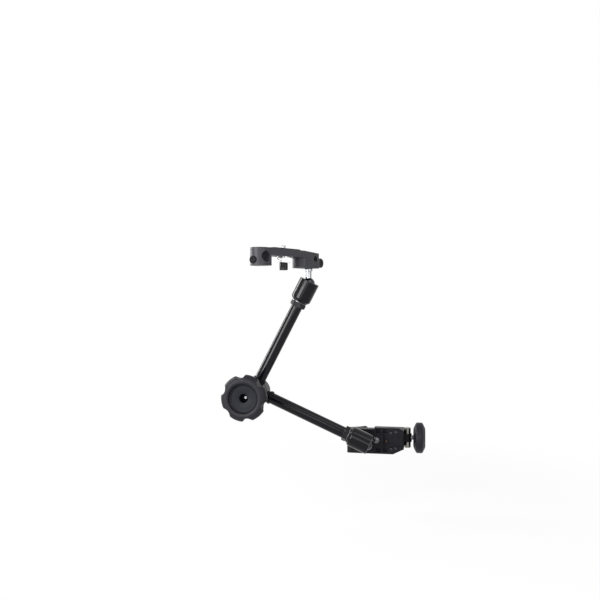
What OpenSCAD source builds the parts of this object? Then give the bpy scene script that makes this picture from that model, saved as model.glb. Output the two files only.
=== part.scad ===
// Articulating friction arm with its camera bracket and pole clamp.
// Millimetres. The origin is on the pole's axis at mid-height of the clamp,
// +X runs towards the clamp knob, -Y towards the elbow knob's face, +Z is up.

/* [Arm] */
// Distance from the elbow axis to each ball centre
arm_reach = 196.5; // [170:0.5:260]
// Slope of the lower arm below level, degrees
lower_slope = 23.9; // [15:0.1:40]
// Slope of the upper arm above level, degrees
upper_slope = 62.7; // [50:0.1:75]
// Outside diameter of the arm tubes
tube_d = 18; // [15:0.5:19.5]
// Wall of the arm tubes
tube_wall = 2; // [1.5:0.1:3]
// Diameter of the push rods inside the tubes
rod_d = 6; // [4:0.5:8]

/* [Ball housings] */
// Outside diameter of the ball housings
housing_d = 32; // [30:0.5:38]
// Length of the straight part of a housing
housing_len = 30; // [28:0.5:40]
// Radius of a housing's rounded shoulder
shoulder_r = 5; // [3:0.5:5.5]
// Diameter of the balls
ball_d = 20; // [19:0.1:21]
// Diameter of the ball stems
stem_d = 9.4; // [8:0.1:10]
// Distance from the ball centre out to the housing's mouth
mouth_rise = 4.5; // [3.5:0.1:5]
// Width of the slot that lets the stem swing to a right angle
slot_w = 10.6; // [10.2:0.1:12]
// Turn of the upper housing's slot from the knob's side, degrees
upper_slot_turn = 156; // [120:1:220]
// Length of the brass cup behind a ball
cup_len = 11; // [8:0.5:14]
// Diameter of the black flange behind a housing
flange_d = 25.2; // [24:0.2:27]
// Diameter of the bright ring behind the flange
ring_d = 23.4; // [21:0.2:24]
// Length of the bright ring
ring_len = 1.6; // [1:0.1:3]
// Width across the flats of the tube nuts
nut_flats = 21.6; // [21:0.2:23]
// Length of the tube nuts
nut_len = 7.2; // [5:0.2:9]

/* [Elbow] */
// Diameter of the two half hubs
hub_d = 39; // [36:0.5:44]
// Thickness of one half hub, which also sets the arms side by side
hub_w = 28; // [26:0.5:34]
// Diameter of the collar where a tube enters its hub
collar_d = 21.4; // [21:0.2:24]
// Distance from the elbow axis to the end of the collar
collar_reach = 27; // [25:0.5:32]
// Thickness of the friction washer between the hubs
friction_t = 1.2; // [0.8:0.1:2]
// Diameter of the elbow bolt
bolt_d = 10; // [8:0.5:11]
// Number of disc springs between the two cones
disc_count = 6; // [4:2:8]
// Diameter of the disc springs
disc_d = 21; // [18:0.5:22]
// Diameter of the thrust washer under the knob
thrust_d = 30; // [26:0.5:34]

/* [Elbow knob] */
// Overall diameter of the elbow knob
knob_d = 71.4; // [68:0.2:82]
// Length of the knob's rim along its axis
knob_rim = 24; // [18:0.5:26]
// Length of the knob's neck behind the rim
knob_neck = 23; // [18:0.5:28]
// Diameter of the knob's neck
knob_neck_d = 31; // [30:0.5:36]
// Number of finger scallops
scallops = 6; // [5:1:8]
// Radius of a scallop
scallop_r = 9; // [7:0.5:11]
// Depth of a scallop into the rim
scallop_depth = 5.6; // [4:0.2:7]
// Angle of the first scallop from level, degrees
scallop_turn = 39.6; // [0:0.1:60]
// Diameter of the rounded crest on the knob's face
crest_d = 53; // [50:0.5:58]
// Diameter of the flat floor of the knob's dish
dish_d = 40; // [36:0.5:44]
// Depth of the dish below the crest
dish_depth = 6.5; // [4:0.5:8]
// Diameter of the hole in the middle of the dish
knob_hole_d = 13.5; // [13:0.5:18]

/* [Camera bracket] */
// Overall length of the bracket
bracket_len = 143.5; // [130:0.5:170]
// Width of the bracket
bracket_w = 27; // [26:0.5:34]
// Height of the end blocks
block_h = 26; // [24:0.5:32]
// Length of the left block
left_len = 24.5; // [23:0.5:34]
// Length of the right block
right_len = 44; // [38:0.5:52]
// Thickness of the bar between the blocks
bar_t = 10.5; // [9:0.5:14]
// Fall of the top face over the right block
top_fall = 2.6; // [0:0.2:4]
// Turn of the bracket about the upper stem, degrees
bracket_turn = 63; // [30:0.5:80]
// Distance from the stem axis to the bracket's right end
stem_inset = 11.3; // [11:0.1:16]
// Distance from the ball centre up to the bracket's underside
bracket_rise = 24; // [22:0.5:34]
// Diameter of the socket across the left block
socket_d = 16; // [12:0.5:18]
// Distance from the left end to the socket's axis
socket_inset = 13.5; // [13:0.5:15]
// Diameter of the camera screw
camera_d = 6.35; // [6.35:0.01:9.53]
// Length of the slot for the camera screw
slot_len = 48; // [30:1:52]
// Distance of the camera screw from the slot's middle
camera_shift = 6; // [-10:0.5:12]
// Height of the camera screw above the pad
camera_rise = 5.5; // [4:0.5:9]
// Thickness of the rubber pad
pad_t = 1.2; // [0.8:0.1:3]
// Diameter of the knurled disc under the bar
disc_ring_d = 22; // [18:0.5:26]
// Thickness of the knurled disc
disc_ring_t = 7.6; // [5:0.2:9]
// Diameter of the stud spigot inside the right block
spigot_top_d = 12; // [10:0.5:12.5]
// Length of the stud spigot inside the right block
spigot_top_len = 19; // [14:0.5:21]
// Height of the wing screw above the bracket's underside
wing_h = 9.6; // [8:0.2:13]
// Length of the wing screw's head along its axis
wing_len = 24; // [20:0.5:30]
// Width of the wing screw's oval paddle
wing_span = 15; // [12:0.5:20]

/* [Pole clamp] */
// Diameter of the pole that the clamp grips
pole_d = 23; // [20:0.5:24]
// Half the height of the clamp body
clamp_half_h = 21.5; // [20:0.5:26]
// Half the height of the hook and of the walls behind the spine
hook_half_h = 13.5; // [12.5:0.5:19]
// Height of the jaw and of the two pads
jaw_h = 26; // [24:0.5:38]
// Thickness of the pads
liner_t = 2; // [1.5:0.1:3]
// Thickness of the clamp's spine behind the boss
spine_t = 21; // [20:0.5:26]
// Distance from the pole axis to the face of the socket boss
boss_front = 41.5; // [41:0.5:46]
// Diameter of the lower stud's spigot
spigot_d = 16; // [14:0.5:17]
// Length of the lower stud's spigot
spigot_len = 26; // [20:0.5:27]
// Distance from the pole axis to the clamp's left end
hook_reach = 35; // [31:0.5:40]
// Distance from the pole axis to the back of the end wall
end_wall_x = 50; // [49:0.5:56]
// Thickness of the end wall
end_wall_t = 7.4; // [6:0.2:10]
// Distance from the pole axis to the barrel nut
barrel_x = 62.6; // [62:0.2:66]
// Diameter of the barrel nut
barrel_d = 10.6; // [10:0.2:11]
// Height of the barrel nut
barrel_h = 33; // [28:0.5:38]
// Diameter of the clamp spindle
spindle_d = 8; // [6:0.5:8]
// Diameter of the clamp knob
disc_knob_d = 50; // [44:0.5:54]
// Width of the clamp knob's rim
disc_knob_rim = 11; // [7:0.2:13]
// Width of the clamp knob over its domed faces
disc_knob_w = 19.6; // [16:0.2:22]
// Diameter of the lock plunger's button
plunger_d = 10.4; // [9:0.2:11]
// Height of the lock plunger's button above the boss
plunger_rise = 3.8; // [2:0.2:4]

/* [Clearances] */
// Radial clearance of shafts and balls that turn
run_fit = 0.05; // [0.03:0.01:0.09]
// Gap between faces that move past each other
face_gap = 0.3; // [0.2:0.05:0.4]
// Radial clearance of pieces assembled into each other
set_fit = 0.05; // [0.03:0.01:0.1]

/* [Hidden] */
// Facets of a full circle, and a hair of overlap for cuts
$fn = 64;
eps = 0.01;

ball_r = ball_d / 2;
stem_r = stem_d / 2;
housing_r = housing_d / 2;
tube_r = tube_d / 2;
tube_bore_r = tube_r - tube_wall;
rod_r = rod_d / 2;
hub_r = hub_d / 2;
bolt_r = bolt_d / 2;
knob_r = knob_d / 2;

// The stem runs this far from the housing before the clamp's boss
stud_gap = 4.5;
ball_y = -(boss_front + stud_gap + housing_r);
elbow_x = -arm_reach * cos(lower_slope);
elbow_z = arm_reach * sin(lower_slope);
top_x = elbow_x + arm_reach * cos(upper_slope);
top_z = elbow_z + arm_reach * sin(upper_slope);
top_y = ball_y - hub_w;
hub_mid_y = ball_y - hub_w / 2;

// Stations along an arm, from the elbow axis
mouth_x = arm_reach + mouth_rise;
shoulder_x = mouth_x - housing_len;
flange_t = 1.8;
flange_x = shoulder_x - shoulder_r + 1 - flange_t;
ring_x = flange_x - ring_len;
nut_x = ring_x - nut_len - 0.2;
tube_start = collar_reach - 12;
tube_end = shoulder_x + 6;
cup_bore_r = ball_r + run_fit;
cup_x = arm_reach - 6 - cup_len;
bore_start = cup_x - 0.6;
rod_end = cup_x - face_gap;

// Stations across the elbow, from the plane between the two hubs
hub_face = friction_t / 2 + set_fit;
pocket_r = disc_d / 2 + 1.1;
pocket_t = hub_w / 2 + 4.5;
cone_front = 4.5;
cone_back = pocket_t - face_gap;
cone_big_r = pocket_r - 0.3;
cone_small_r = bolt_r + 1;
cone_slope = (cone_big_r - cone_small_r) / (cone_back - cone_front);
cone_mid_r = cone_big_r - cone_slope * (hub_w / 2 - rod_r - cone_front);
rod_start = cone_mid_r + 0.2;
cap_t = 2;
bolt_head_t = 4;
bolt_head_r = bolt_r + 3.5;
thrust_t = 1.8;
thrust_at = hub_w + 0.1;
insert_at = thrust_at + thrust_t + 0.1;
insert_flange_t = 2;
knob_at = insert_at + insert_flange_t + 0.1;
rim_at = knob_at + knob_neck;
knob_front = rim_at + knob_rim;
insert_flats = 20;
insert_end = rim_at + 1.5;
bolt_end = insert_end - 3;
knob_screw_r = 2.5;

// Heights on the bracket, from its underside
bar_z = block_h - bar_t;
bracket_x0 = stem_inset - bracket_len;
left_x1 = bracket_x0 + left_len;
right_x0 = stem_inset - right_len;
slot_x = (left_x1 + right_x0) / 2 + 1;
camera_x = slot_x + camera_shift;
socket_x = bracket_x0 + socket_inset;
camera_shank_r = camera_d / 2 - 0.2;
pad_len = slot_len + 14;
end_screw_z = 8;
side_screw_z = 14.5;
washer_t = 1.4;
stud_collar_r = 6.25;
stud_collar_t = 4;

// Clamp stations
pole_r = pole_d / 2;
liner_r = pole_r + liner_t;
spine_back = -(liner_r + 0.3);
spine_front = spine_back - spine_t;
hook_wall = 8;
hook_from = 112;
hook_to = 205;
rear_y = liner_r + 0.5;
rear_t = 5.5;
jaw_back = liner_r + 16.5;
jaw_side = liner_r - 0.6;
socket_r = spigot_d / 2 + run_fit;
eye_half = 6.6;
eye_r = 7;
knob_hub_x = barrel_x + eye_r + 2.6;
boss_right = 24.6;
boss_half = 10.6;
plunger_x = socket_r + plunger_d / 2 + 0.4;
plunger_z = 2;
plunger_r = 3.2;
spindle_r = spindle_d / 2;
spindle_seat = 9;
bush_end = 7.95;
bush_t = 0.3;
// Places of the four small screws on the front, and the radius of their shanks
screw_spots = [[37, 12.6], [45, 14], [37.5, -13.6], [44.5, -12.2]];
screw_r = 1.6;

// Moves what is drawn along +X of an arm to its place
module lower_frame() { translate([elbow_x, ball_y, elbow_z]) rotate([0, lower_slope, 0]) children(); }
module upper_frame() { translate([elbow_x, top_y, elbow_z]) rotate([0, -upper_slope, 0]) children(); }
// Turns a shape drawn about +Z so that it lies about +X
module along_x() { rotate([0, 90, 0]) children(); }
// The elbow axis, with +Z of the drawing towards the knob's face
module elbow_frame() { translate([elbow_x, hub_mid_y, elbow_z]) rotate([90, 0, 0]) children(); }
// The bracket's own frame, on the upper stem's axis at the underside
module bracket_frame() {
    translate([top_x, top_y, top_z + bracket_rise]) rotate([0, 0, bracket_turn]) children();
}

// A lathe ring between two heights, with small chamfers on its outer edges
module turned_ring(r_out, r_in, z0, z1, edge = 0.4) {
    translate([0, 0, z0]) rotate_extrude()
        polygon([[r_in, 0], [r_out - edge, 0], [r_out, edge], [r_out, z1 - z0 - edge],
            [r_out - edge, z1 - z0], [r_in, z1 - z0]]);
}
// A solid lathe disc between two heights, with small chamfers on its outer edges
module turned_disc(r_out, z0, z1, edge = 0.4) {
    translate([0, 0, z0]) rotate_extrude()
        polygon([[0, 0], [r_out - edge, 0], [r_out, edge], [r_out, z1 - z0 - edge],
            [r_out - edge, z1 - z0], [0, z1 - z0]]);
}
// A sector of a flat ring in the XY plane, from one angle to another
module ring_sector(r_in, r_out, a0, a1) {
    far = r_out * 2;
    mid = (a0 + a1) / 2;
    intersection() {
        difference() {
            circle(r_out);
            circle(r_in);
        }
        polygon([[0, 0], [far * cos(a0), far * sin(a0)], [far * cos(mid), far * sin(mid)],
            [far * cos(a1), far * sin(a1)]]);
    }
}

// Arm pieces, drawn along +X from the elbow axis

module housing_shape() {
    edge = 0.7;
    difference() {
        along_x() rotate_extrude() difference() {
            union() {
                translate([0, shoulder_x]) square([housing_r - edge, housing_len]);
                translate([0, shoulder_x]) square([housing_r, housing_len - edge]);
                translate([0, mouth_x - edge])
                    polygon([[0, 0], [housing_r, 0], [housing_r - edge, edge], [0, edge]]);
                translate([housing_r - shoulder_r, shoulder_x]) circle(shoulder_r);
                translate([0, shoulder_x - shoulder_r]) square([housing_r - shoulder_r, shoulder_r]);
                translate([0, flange_x]) square([flange_d / 2, flange_t]);
            }
            translate([-1, tube_end]) square([cup_bore_r - 2, 20]);
            translate([-1, bore_start]) square([cup_bore_r + 1, arm_reach - bore_start]);
            translate([0, arm_reach]) circle(cup_bore_r);
            translate([-1, flange_x - 1])
                square([tube_r + set_fit + 1, tube_end + set_fit - flange_x + 1]);
            translate([-housing_d, 0]) square([housing_d, arm_reach * 2]);
        }
        children();
    }
}
// The slot for the stem, cut from the mouth, open to +Y of the arm's frame
module stem_slot(side) {
    slot_floor = arm_reach - slot_w / 2;
    scale([1, side, 1]) {
        translate([arm_reach, 0, -slot_w / 2]) cube([mouth_rise + 1, housing_r + 1, slot_w]);
        translate([arm_reach, 0, 0]) rotate([-90, 0, 0]) cylinder(d = slot_w, h = housing_r + 1);
    }
}
module lower_housing() {
    color("#141416") lower_frame() housing_shape() stem_slot(1);
}
module upper_housing() {
    color("#141416") upper_frame() housing_shape() rotate([upper_slot_turn, 0, 0]) stem_slot(-1);
}
module ring_shape() {
    along_x() turned_ring(ring_d / 2, tube_r + set_fit, ring_x, flange_x - 0.05, 0.3);
}
module lower_ring() { color("#d8d8da") lower_frame() ring_shape(); }
module upper_ring() { color("#d8d8da") upper_frame() ring_shape(); }

// A hexagon nut with turned, chamfered corners
module nut_shape() {
    corner_r = nut_flats / sqrt(3);
    along_x() difference() {
        intersection() {
            translate([0, 0, nut_x]) cylinder(r = corner_r, h = nut_len, $fn = 6);
            turned_disc(corner_r, nut_x, nut_x + nut_len, 1.2);
        }
        translate([0, 0, nut_x - 1]) cylinder(r = tube_r + set_fit, h = nut_len + 2);
    }
}
module lower_nut() { color("#202024") lower_frame() nut_shape(); }
module upper_nut() { color("#202024") upper_frame() nut_shape(); }

module tube_shape() {
    along_x() difference() {
        turned_disc(tube_r, tube_start, tube_end, 0.5);
        translate([0, 0, tube_start - 1]) cylinder(r = tube_bore_r, h = tube_end - tube_start + 2);
    }
}
module lower_tube() { color("#121214") lower_frame() tube_shape(); }
module upper_tube() { color("#121214") upper_frame() tube_shape(); }

module rod_shape() {
    along_x() turned_disc(rod_r, rod_start, rod_end, 1);
}
module lower_rod() { color("#a8a8ac") lower_frame() rod_shape(); }
module upper_rod() { color("#a8a8ac") upper_frame() rod_shape(); }

// The brass cup that presses on the ball, hollowed to its sphere
module cup_shape() {
    along_x() rotate_extrude() difference() {
        polygon([[0, cup_x], [ball_r - 1, cup_x], [ball_r, cup_x + 1], [ball_r, cup_x + cup_len],
            [0, cup_x + cup_len]]);
        translate([0, arm_reach]) circle(cup_bore_r);
        translate([-ball_d, 0]) square([ball_d, arm_reach * 2]);
    }
}
module lower_cup() { color("#b08d4a") lower_frame() cup_shape(); }
module upper_cup() { color("#b08d4a") upper_frame() cup_shape(); }

// One half of the elbow. side = 1 lies towards the knob, -1 towards the cap.
module hub_shape(side) {
    difference() {
        union() {
            rotate([side * 90, 0, 0]) translate([0, 0, -hub_w / 2]) rotate_extrude()
                polygon([[0, hub_face], [hub_r - 1, hub_face], [hub_r, hub_face + 1], [hub_r, hub_w - 1.5],
                    [hub_r - 1.5, hub_w], [0, hub_w]]);
            along_x() turned_disc(collar_d / 2 - 1.4, 1, collar_reach - 4, 0.1);
            along_x() turned_disc(collar_d / 2, collar_reach - 5, collar_reach, 0.6);
        }
        rotate([side * 90, 0, 0]) translate([0, 0, -hub_w / 2]) {
            translate([0, 0, -1]) cylinder(r = pocket_r, h = pocket_t + 1);
            cylinder(r = bolt_r + run_fit, h = hub_w + 1);
            if (side < 0) {
                translate([0, 0, hub_w - cap_t - bolt_head_t])
                    cylinder(r = bolt_head_r + set_fit, h = hub_w);
                translate([0, 0, hub_w - cap_t]) cylinder(r = hub_r - 4, h = hub_w);
            }
        }
        along_x() cylinder(r = rod_r + 0.15, h = collar_reach);
        along_x() translate([0, 0, tube_start - set_fit]) cylinder(r = tube_r + set_fit, h = collar_reach);
    }
}
module lower_hub() { color("#17171a") lower_frame() hub_shape(-1); }
module upper_hub() { color("#17171a") upper_frame() hub_shape(1); }

// The wedge that spreads the push rod when the knob is tightened
module lower_cone() {
    color("#b08d4a") elbow_frame() mirror([0, 0, 1]) rotate_extrude() cone_profile();
}
module upper_cone() {
    color("#b08d4a") elbow_frame() rotate_extrude() cone_profile();
}
module cone_profile() {
    polygon([[bolt_r + 0.1, cone_front], [cone_big_r, cone_front], [cone_small_r, cone_back],
        [bolt_r + 0.1, cone_back]]);
}

// Disc springs, stacked in opposed pairs between the cones
module disc_springs() {
    pitch = 2 * (cone_front - 0.15) / disc_count;
    rise = pitch * 0.36;
    t = pitch - rise - 0.02;
    color("#8f9296") elbow_frame()
        for (i = [0 : disc_count - 1]) translate([0, 0, (i - disc_count / 2) * pitch])
            rotate_extrude() disc_profile(i % 2 == 0, rise, t);
}
module disc_profile(up, rise, t) {
    inner = bolt_r + 0.3;
    outer = disc_d / 2;
    if (up) polygon([[inner, 0], [outer, rise], [outer, rise + t], [inner, t]]);
    else polygon([[inner, rise], [outer, 0], [outer, t], [inner, rise + t]]);
}

module friction_washer() {
    color("#5a4632") elbow_frame()
        turned_ring(hub_r - 1, pocket_r + 0.6, -friction_t / 2, friction_t / 2, 0.1);
}

module hub_bolt() {
    color("#9a9a9e") elbow_frame() {
        difference() {
            union() {
                translate([0, 0, -hub_w + cap_t]) cylinder(r = bolt_head_r, h = bolt_head_t - 0.05);
                translate([0, 0, -hub_w + cap_t]) cylinder(r = bolt_r, h = hub_w - cap_t + bolt_end);
            }
            translate([0, 0, bolt_end - 9]) cylinder(r = knob_screw_r, h = 10);
        }
    }
}
module bolt_nut() {
    color("#9a9a9e") elbow_frame() translate([0, 0, -hub_w + 0.05])
        turned_disc(hub_r - 8, 0, cap_t - 0.15, 0.2);
}
module hub_cap() {
    color("#1a1a1c") elbow_frame() difference() {
        translate([0, 0, -hub_w]) turned_disc(hub_r - 4 - set_fit, 0, cap_t - 0.05, 0.4);
        translate([0, 0, -hub_w - 1]) cylinder(r = hub_r - 8 + set_fit, h = cap_t + 2);
    }
}
module thrust_washer() {
    color("#c9c9cc") elbow_frame()
        turned_ring(thrust_d / 2, bolt_r + 0.1, thrust_at, thrust_at + thrust_t, 0.3);
}

// The knob's section: neck, back cone, rim with a rounded crest, and dish
module knob_profile() {
    crest_r = crest_d / 2;
    edge_r = 7;
    difference() {
        union() {
            translate([0, knob_at]) square([knob_neck_d / 2, knob_neck + 1]);
            polygon([[0, rim_at - 9], [knob_neck_d / 2, rim_at - 9], [knob_r - 4, rim_at],
                [knob_r - 1, rim_at + 0.9], [knob_r, rim_at + 3], [knob_r, knob_front - edge_r - 2],
                [crest_r, knob_front - 4], [0, knob_front - 4]]);
            intersection() {
                translate([crest_r, knob_front - 12]) scale([1, 1.2]) circle(r = 10);
                translate([0, knob_front - edge_r - 8]) square([knob_r, edge_r + 8]);
            }
        }
        polygon([[0, knob_front - dish_depth], [dish_d / 2, knob_front - dish_depth],
            [crest_r - 3.5, knob_front + 1], [0, knob_front + 1]]);
    }
}
module elbow_knob() {
    hole_floor = insert_end + 0.1;
    pocket_across = insert_flats + 2 * set_fit;
    color("#3b3b3f") elbow_frame() difference() {
        rotate_extrude($fn = 96) knob_profile();
        for (i = [0 : scallops - 1]) rotate([0, 0, scallop_turn + i * 360 / scallops])
            translate([knob_r + scallop_r - scallop_depth, 0, rim_at - 12])
                cylinder(r = scallop_r, h = knob_rim + 14);
        translate([0, 0, knob_at - 1])
            cylinder(r = pocket_across / sqrt(3), h = hole_floor - knob_at + 1, $fn = 6);
        translate([0, 0, hole_floor - 1]) cylinder(d = knob_hole_d, h = knob_front);
    }
}
module knob_insert() {
    color("#6f7074") elbow_frame() difference() {
        union() {
            turned_disc(knob_neck_d / 2 - 1.5, insert_at, insert_at + insert_flange_t, 0.3);
            translate([0, 0, insert_at + 1])
                cylinder(r = insert_flats / sqrt(3), h = insert_end - insert_at - 1, $fn = 6);
        }
        translate([0, 0, insert_at - 1]) cylinder(r = bolt_r + run_fit, h = insert_end);
    }
}
// A button-head screw that stops the knob from being wound off the bolt
module knob_screw() {
    head_r = 5.2;
    color("#e2e2e4") elbow_frame() difference() {
        union() {
            translate([0, 0, bolt_end - 8.5]) cylinder(r = knob_screw_r - set_fit, h = 10);
            translate([0, 0, bolt_end + 0.05]) cylinder(r = bolt_r - 0.2, h = 3.2);
            intersection() {
                translate([0, 0, insert_end + 0.2]) cylinder(r = head_r, h = 4);
                translate([0, 0, insert_end - 1.6]) sphere(r = 6);
            }
        }
        translate([0, 0, insert_end + 2.2]) cylinder(d = 4.6, h = 6, $fn = 6);
    }
}

// Ball studs

module lower_stud() {
    color("#c4c6c9") translate([0, ball_y, 0]) rotate([-90, 0, 0]) {
        difference() {
            union() {
                sphere(r = ball_r);
                cylinder(r = stem_r, h = housing_r + stud_gap + 1);
                translate([0, 0, housing_r + 1]) cylinder(r = spigot_d / 2 - 1, h = stud_gap - 1.5);
                translate([0, 0, housing_r + stud_gap - 0.6]) turned_disc(spigot_d / 2, 0, spigot_len, 0.8);
            }
            translate([0, 0, housing_r + stud_gap + 8]) rotate_extrude()
                translate([spigot_d / 2 - 1.2, 0]) square([3, 6]);
        }
    }
}
module upper_stud() {
    color("#c4c6c9") translate([top_x, top_y, top_z]) {
        sphere(r = ball_r);
        cylinder(r = stem_r, h = bracket_rise);
        translate([0, 0, bracket_rise - stud_collar_t - 0.2]) turned_disc(stud_collar_r, 0, stud_collar_t, 0.4);
        translate([0, 0, bracket_rise - 1]) turned_disc(spigot_top_d / 2, 0, spigot_top_len, 0.6);
    }
}

// Camera bracket, drawn in its own frame with +X towards the wing screw

module left_block_plan() {
    r = bracket_w / 2;
    translate([bracket_x0 + r, 0]) circle(r);
    translate([bracket_x0 + r, -r]) square([left_len - r, bracket_w]);
}
module right_block_plan() {
    r = bracket_w / 2;
    corner = 3;
    translate([right_x0 + r, 0]) circle(r);
    translate([right_x0 + r, -r]) square([right_len - r - corner, bracket_w]);
    translate([stem_inset - corner - 1, -r + corner]) square([corner + 1, bracket_w - 2 * corner]);
    for (s = [-1, 1]) translate([stem_inset - corner, s * (r - corner)]) circle(corner);
}
module slot_plan(w, len) {
    translate([slot_x - (len - w) / 2, -w / 2]) square([len - w, w]);
    for (s = [-1, 1]) translate([slot_x + s * (len - w) / 2, 0]) circle(d = w);
}
module bracket() {
    slot_width = camera_d + 0.6;
    recess = 9;
    color("#46474b") bracket_frame() difference() {
        union() {
            linear_extrude(block_h) left_block_plan();
            linear_extrude(block_h) right_block_plan();
            translate([left_x1 - 1, -bracket_w / 2, bar_z]) cube([right_x0 - left_x1 + 15, bracket_w, bar_t]);
        }
        translate([0, bracket_w, 0]) rotate([90, 0, 0]) linear_extrude(2 * bracket_w)
            polygon([[right_x0 + 4, block_h + eps], [stem_inset + eps, block_h - top_fall],
                [stem_inset + eps, block_h + 1], [right_x0 + 4, block_h + 1]]);
        translate([0, 0, bar_z - 1]) linear_extrude(bar_t + 2) slot_plan(slot_width, slot_len);
        translate([0, 0, block_h - 2.4]) linear_extrude(3) slot_plan(slot_width + recess, slot_len + recess);
        translate([socket_x, bracket_w, block_h / 2]) rotate([90, 0, 0])
            cylinder(d = socket_d, h = bracket_w * 2);
        translate([0, 0, -1]) cylinder(r = spigot_top_d / 2 + run_fit, h = spigot_top_len + 0.4);
        translate([0, 0, wing_h]) along_x() cylinder(r = 3 + set_fit, h = stem_inset + 1);
        translate([0, -bracket_w / 2 - 1, side_screw_z]) rotate([-90, 0, 0]) cylinder(d = 9.6, h = 5.6);
        translate([0, -bracket_w / 2, side_screw_z]) rotate([-90, 0, 0])
            cylinder(r = 3 + set_fit, h = bracket_w / 2 - 5);
        translate([bracket_x0 - 1, 0, end_screw_z]) along_x() cylinder(r = 3 + set_fit, h = socket_inset - 1);
    }
}
module bracket_pad() {
    color("#1c1c1e") bracket_frame() difference() {
        translate([slot_x - pad_len / 2, 1 - bracket_w / 2, block_h]) cube([pad_len, bracket_w - 2, pad_t]);
        translate([0, 0, block_h - 1]) linear_extrude(pad_t + 2) slot_plan(camera_d + 9.6, slot_len + 9);
    }
}
// A cup-point screw in the side of the right block
module side_screw() {
    color("#101012") bracket_frame()
        translate([0, 1.4 - bracket_w / 2, side_screw_z]) rotate([-90, 0, 0]) difference() {
            union() {
                turned_disc(4.6, 0, 3.1, 0.5);
                cylinder(r = 3, h = bracket_w / 2 - spigot_top_d / 2 - 1.7);
            }
            translate([0, 0, -1]) cylinder(d = 4.6, h = 3.4, $fn = 6);
        }
}
// The slotted screw that locks a rod in the left block's socket
module end_screw() {
    head_t = 3.2;
    head_gap = 0.2;
    slot = 1.2;
    color("#202024") bracket_frame()
        translate([bracket_x0 - head_t - head_gap, 0, end_screw_z]) along_x() difference() {
            union() {
                turned_disc(5.4, 0, head_t, 0.9);
                cylinder(r = 3, h = head_t + head_gap + socket_inset - socket_d / 2);
            }
            translate([-slot / 2, -7, -1]) cube([slot, 14, slot + 1]);
        }
}
module wing_screw() {
    color("#a2a3a6") bracket_frame() translate([spigot_top_d / 2 + 0.5, 0, wing_h]) along_x()
        turned_disc(3, 0, stem_inset - spigot_top_d / 2 + 8, 0.5);
}
module wing_head() {
    base = 9;
    paddle_t = 6;
    dish_r = 15;
    dish_sink = 1.3;
    dish_y = paddle_t / 2 - dish_sink + dish_r;
    color("#0e0e10") bracket_frame() translate([stem_inset + 1.2, 0, wing_h]) along_x() difference() {
        union() {
            turned_disc(5.8, 0, base, 1);
            rotate([90, 0, 0]) translate([0, 0, -paddle_t / 2]) linear_extrude(paddle_t) wing_plan();
        }
        translate([0, 0, -1]) cylinder(r = 3 + set_fit, h = 8.6);
        for (s = [-1, 1]) translate([0, s * dish_y, wing_len - wing_span / 2 - 1]) sphere(r = dish_r);
    }
}
// An oval paddle on a tapering neck, drawn with the screw's axis along +Y
module wing_plan() {
    r = wing_span / 2;
    oval = 3;
    foot = 4;
    low_y = wing_len - r - oval;
    for (y = [low_y, low_y + oval]) translate([0, y]) circle(r);
    translate([-r, low_y]) square([wing_span, oval]);
    polygon([[-foot, 1.4], [foot, 1.4], [r - 0.6, low_y - 2], [0.6 - r, low_y - 2]]);
}

// Camera screw and the pieces that carry it in the bar's slot

module camera_washer() {
    color("#c9c9cc") bracket_frame() translate([camera_x, 0, 0])
        turned_ring(disc_ring_d / 2 - 1, camera_d / 2 + run_fit, bar_z - washer_t - 0.05, bar_z - 0.05, 0.2);
}
module camera_ring() {
    top = bar_z - washer_t - 0.15;
    color("#d5d6d8") bracket_frame() translate([camera_x, 0, 0])
        turned_ring(disc_ring_d / 2, camera_d / 2 + run_fit, top - disc_ring_t, top, 0.6);
}
module camera_screw() {
    thread_z = block_h + pad_t + 0.1;
    color("#c9c9cc") bracket_frame() translate([camera_x, 0, 0]) {
        turned_disc(camera_shank_r, -2.4, thread_z + 1, 0.6);
        translate([0, 0, thread_z]) rotate_extrude()
            polygon([[0, 0], [camera_d / 2, 0], [camera_d / 2, camera_rise - 0.7],
                [camera_d / 2 - 0.6, camera_rise - 0.1], [0, camera_rise - 0.1]]);
    }
}
module camera_wing() {
    top = bar_z - washer_t - disc_ring_t - 0.4;
    drop = 11;
    hub = 6.4;
    grip = 5.8;
    tip_x = 9;
    tip_r = 3.2;
    color("#0e0e10") bracket_frame() translate([camera_x, 0, top]) rotate([0, 0, 25]) difference() {
        union() {
            translate([0, 0, -drop]) turned_disc(hub, 0, drop, 0.8);
            translate([0, 0, -grip]) linear_extrude(grip) {
                translate([-tip_x, -tip_r]) square([2 * tip_x, 2 * tip_r]);
                for (s = [-1, 1]) translate([s * tip_x, 0]) circle(tip_r);
            }
        }
        translate([0, 0, -2.6 - top - eps]) cylinder(r = camera_shank_r + set_fit, h = drop + 6);
    }
}

// Pole clamp

// Plan of the cast body: spine, hook around the pole's left side, end wall and rear wall
module clamp_plan() {
    hook_out = liner_r + hook_wall;
    end_x = end_wall_x + end_wall_t;
    corner = 6;
    difference() {
        union() {
            translate([-hook_reach + corner, spine_front]) square([hook_reach + end_x - corner, spine_t + 1]);
            translate([-hook_reach, spine_front + corner]) square([2 * corner, spine_t]);
            translate([-hook_reach + corner, spine_front + corner]) circle(corner);
            translate([-hook_reach, spine_back - 4]) square([hook_reach - 10, 12]);
            ring_sector(liner_r, hook_out, hook_from, hook_to);
            polygon([[-hook_reach, spine_back + 4], [-hook_out * 0.8, 0], [-hook_out * 0.6, hook_out * 0.66],
                [-hook_out - 6, hook_out * 0.35], [-hook_reach, 4]]);
            translate([end_wall_x, spine_back - 1]) square([end_wall_t, rear_y - spine_back + rear_t + 1]);
            translate([jaw_back + 3, rear_y]) square([end_x - jaw_back - 3, rear_t]);
        }
        circle(liner_r + set_fit);
        translate([0, spine_back]) square([end_wall_x, rear_y - spine_back]);
    }
}
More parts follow.
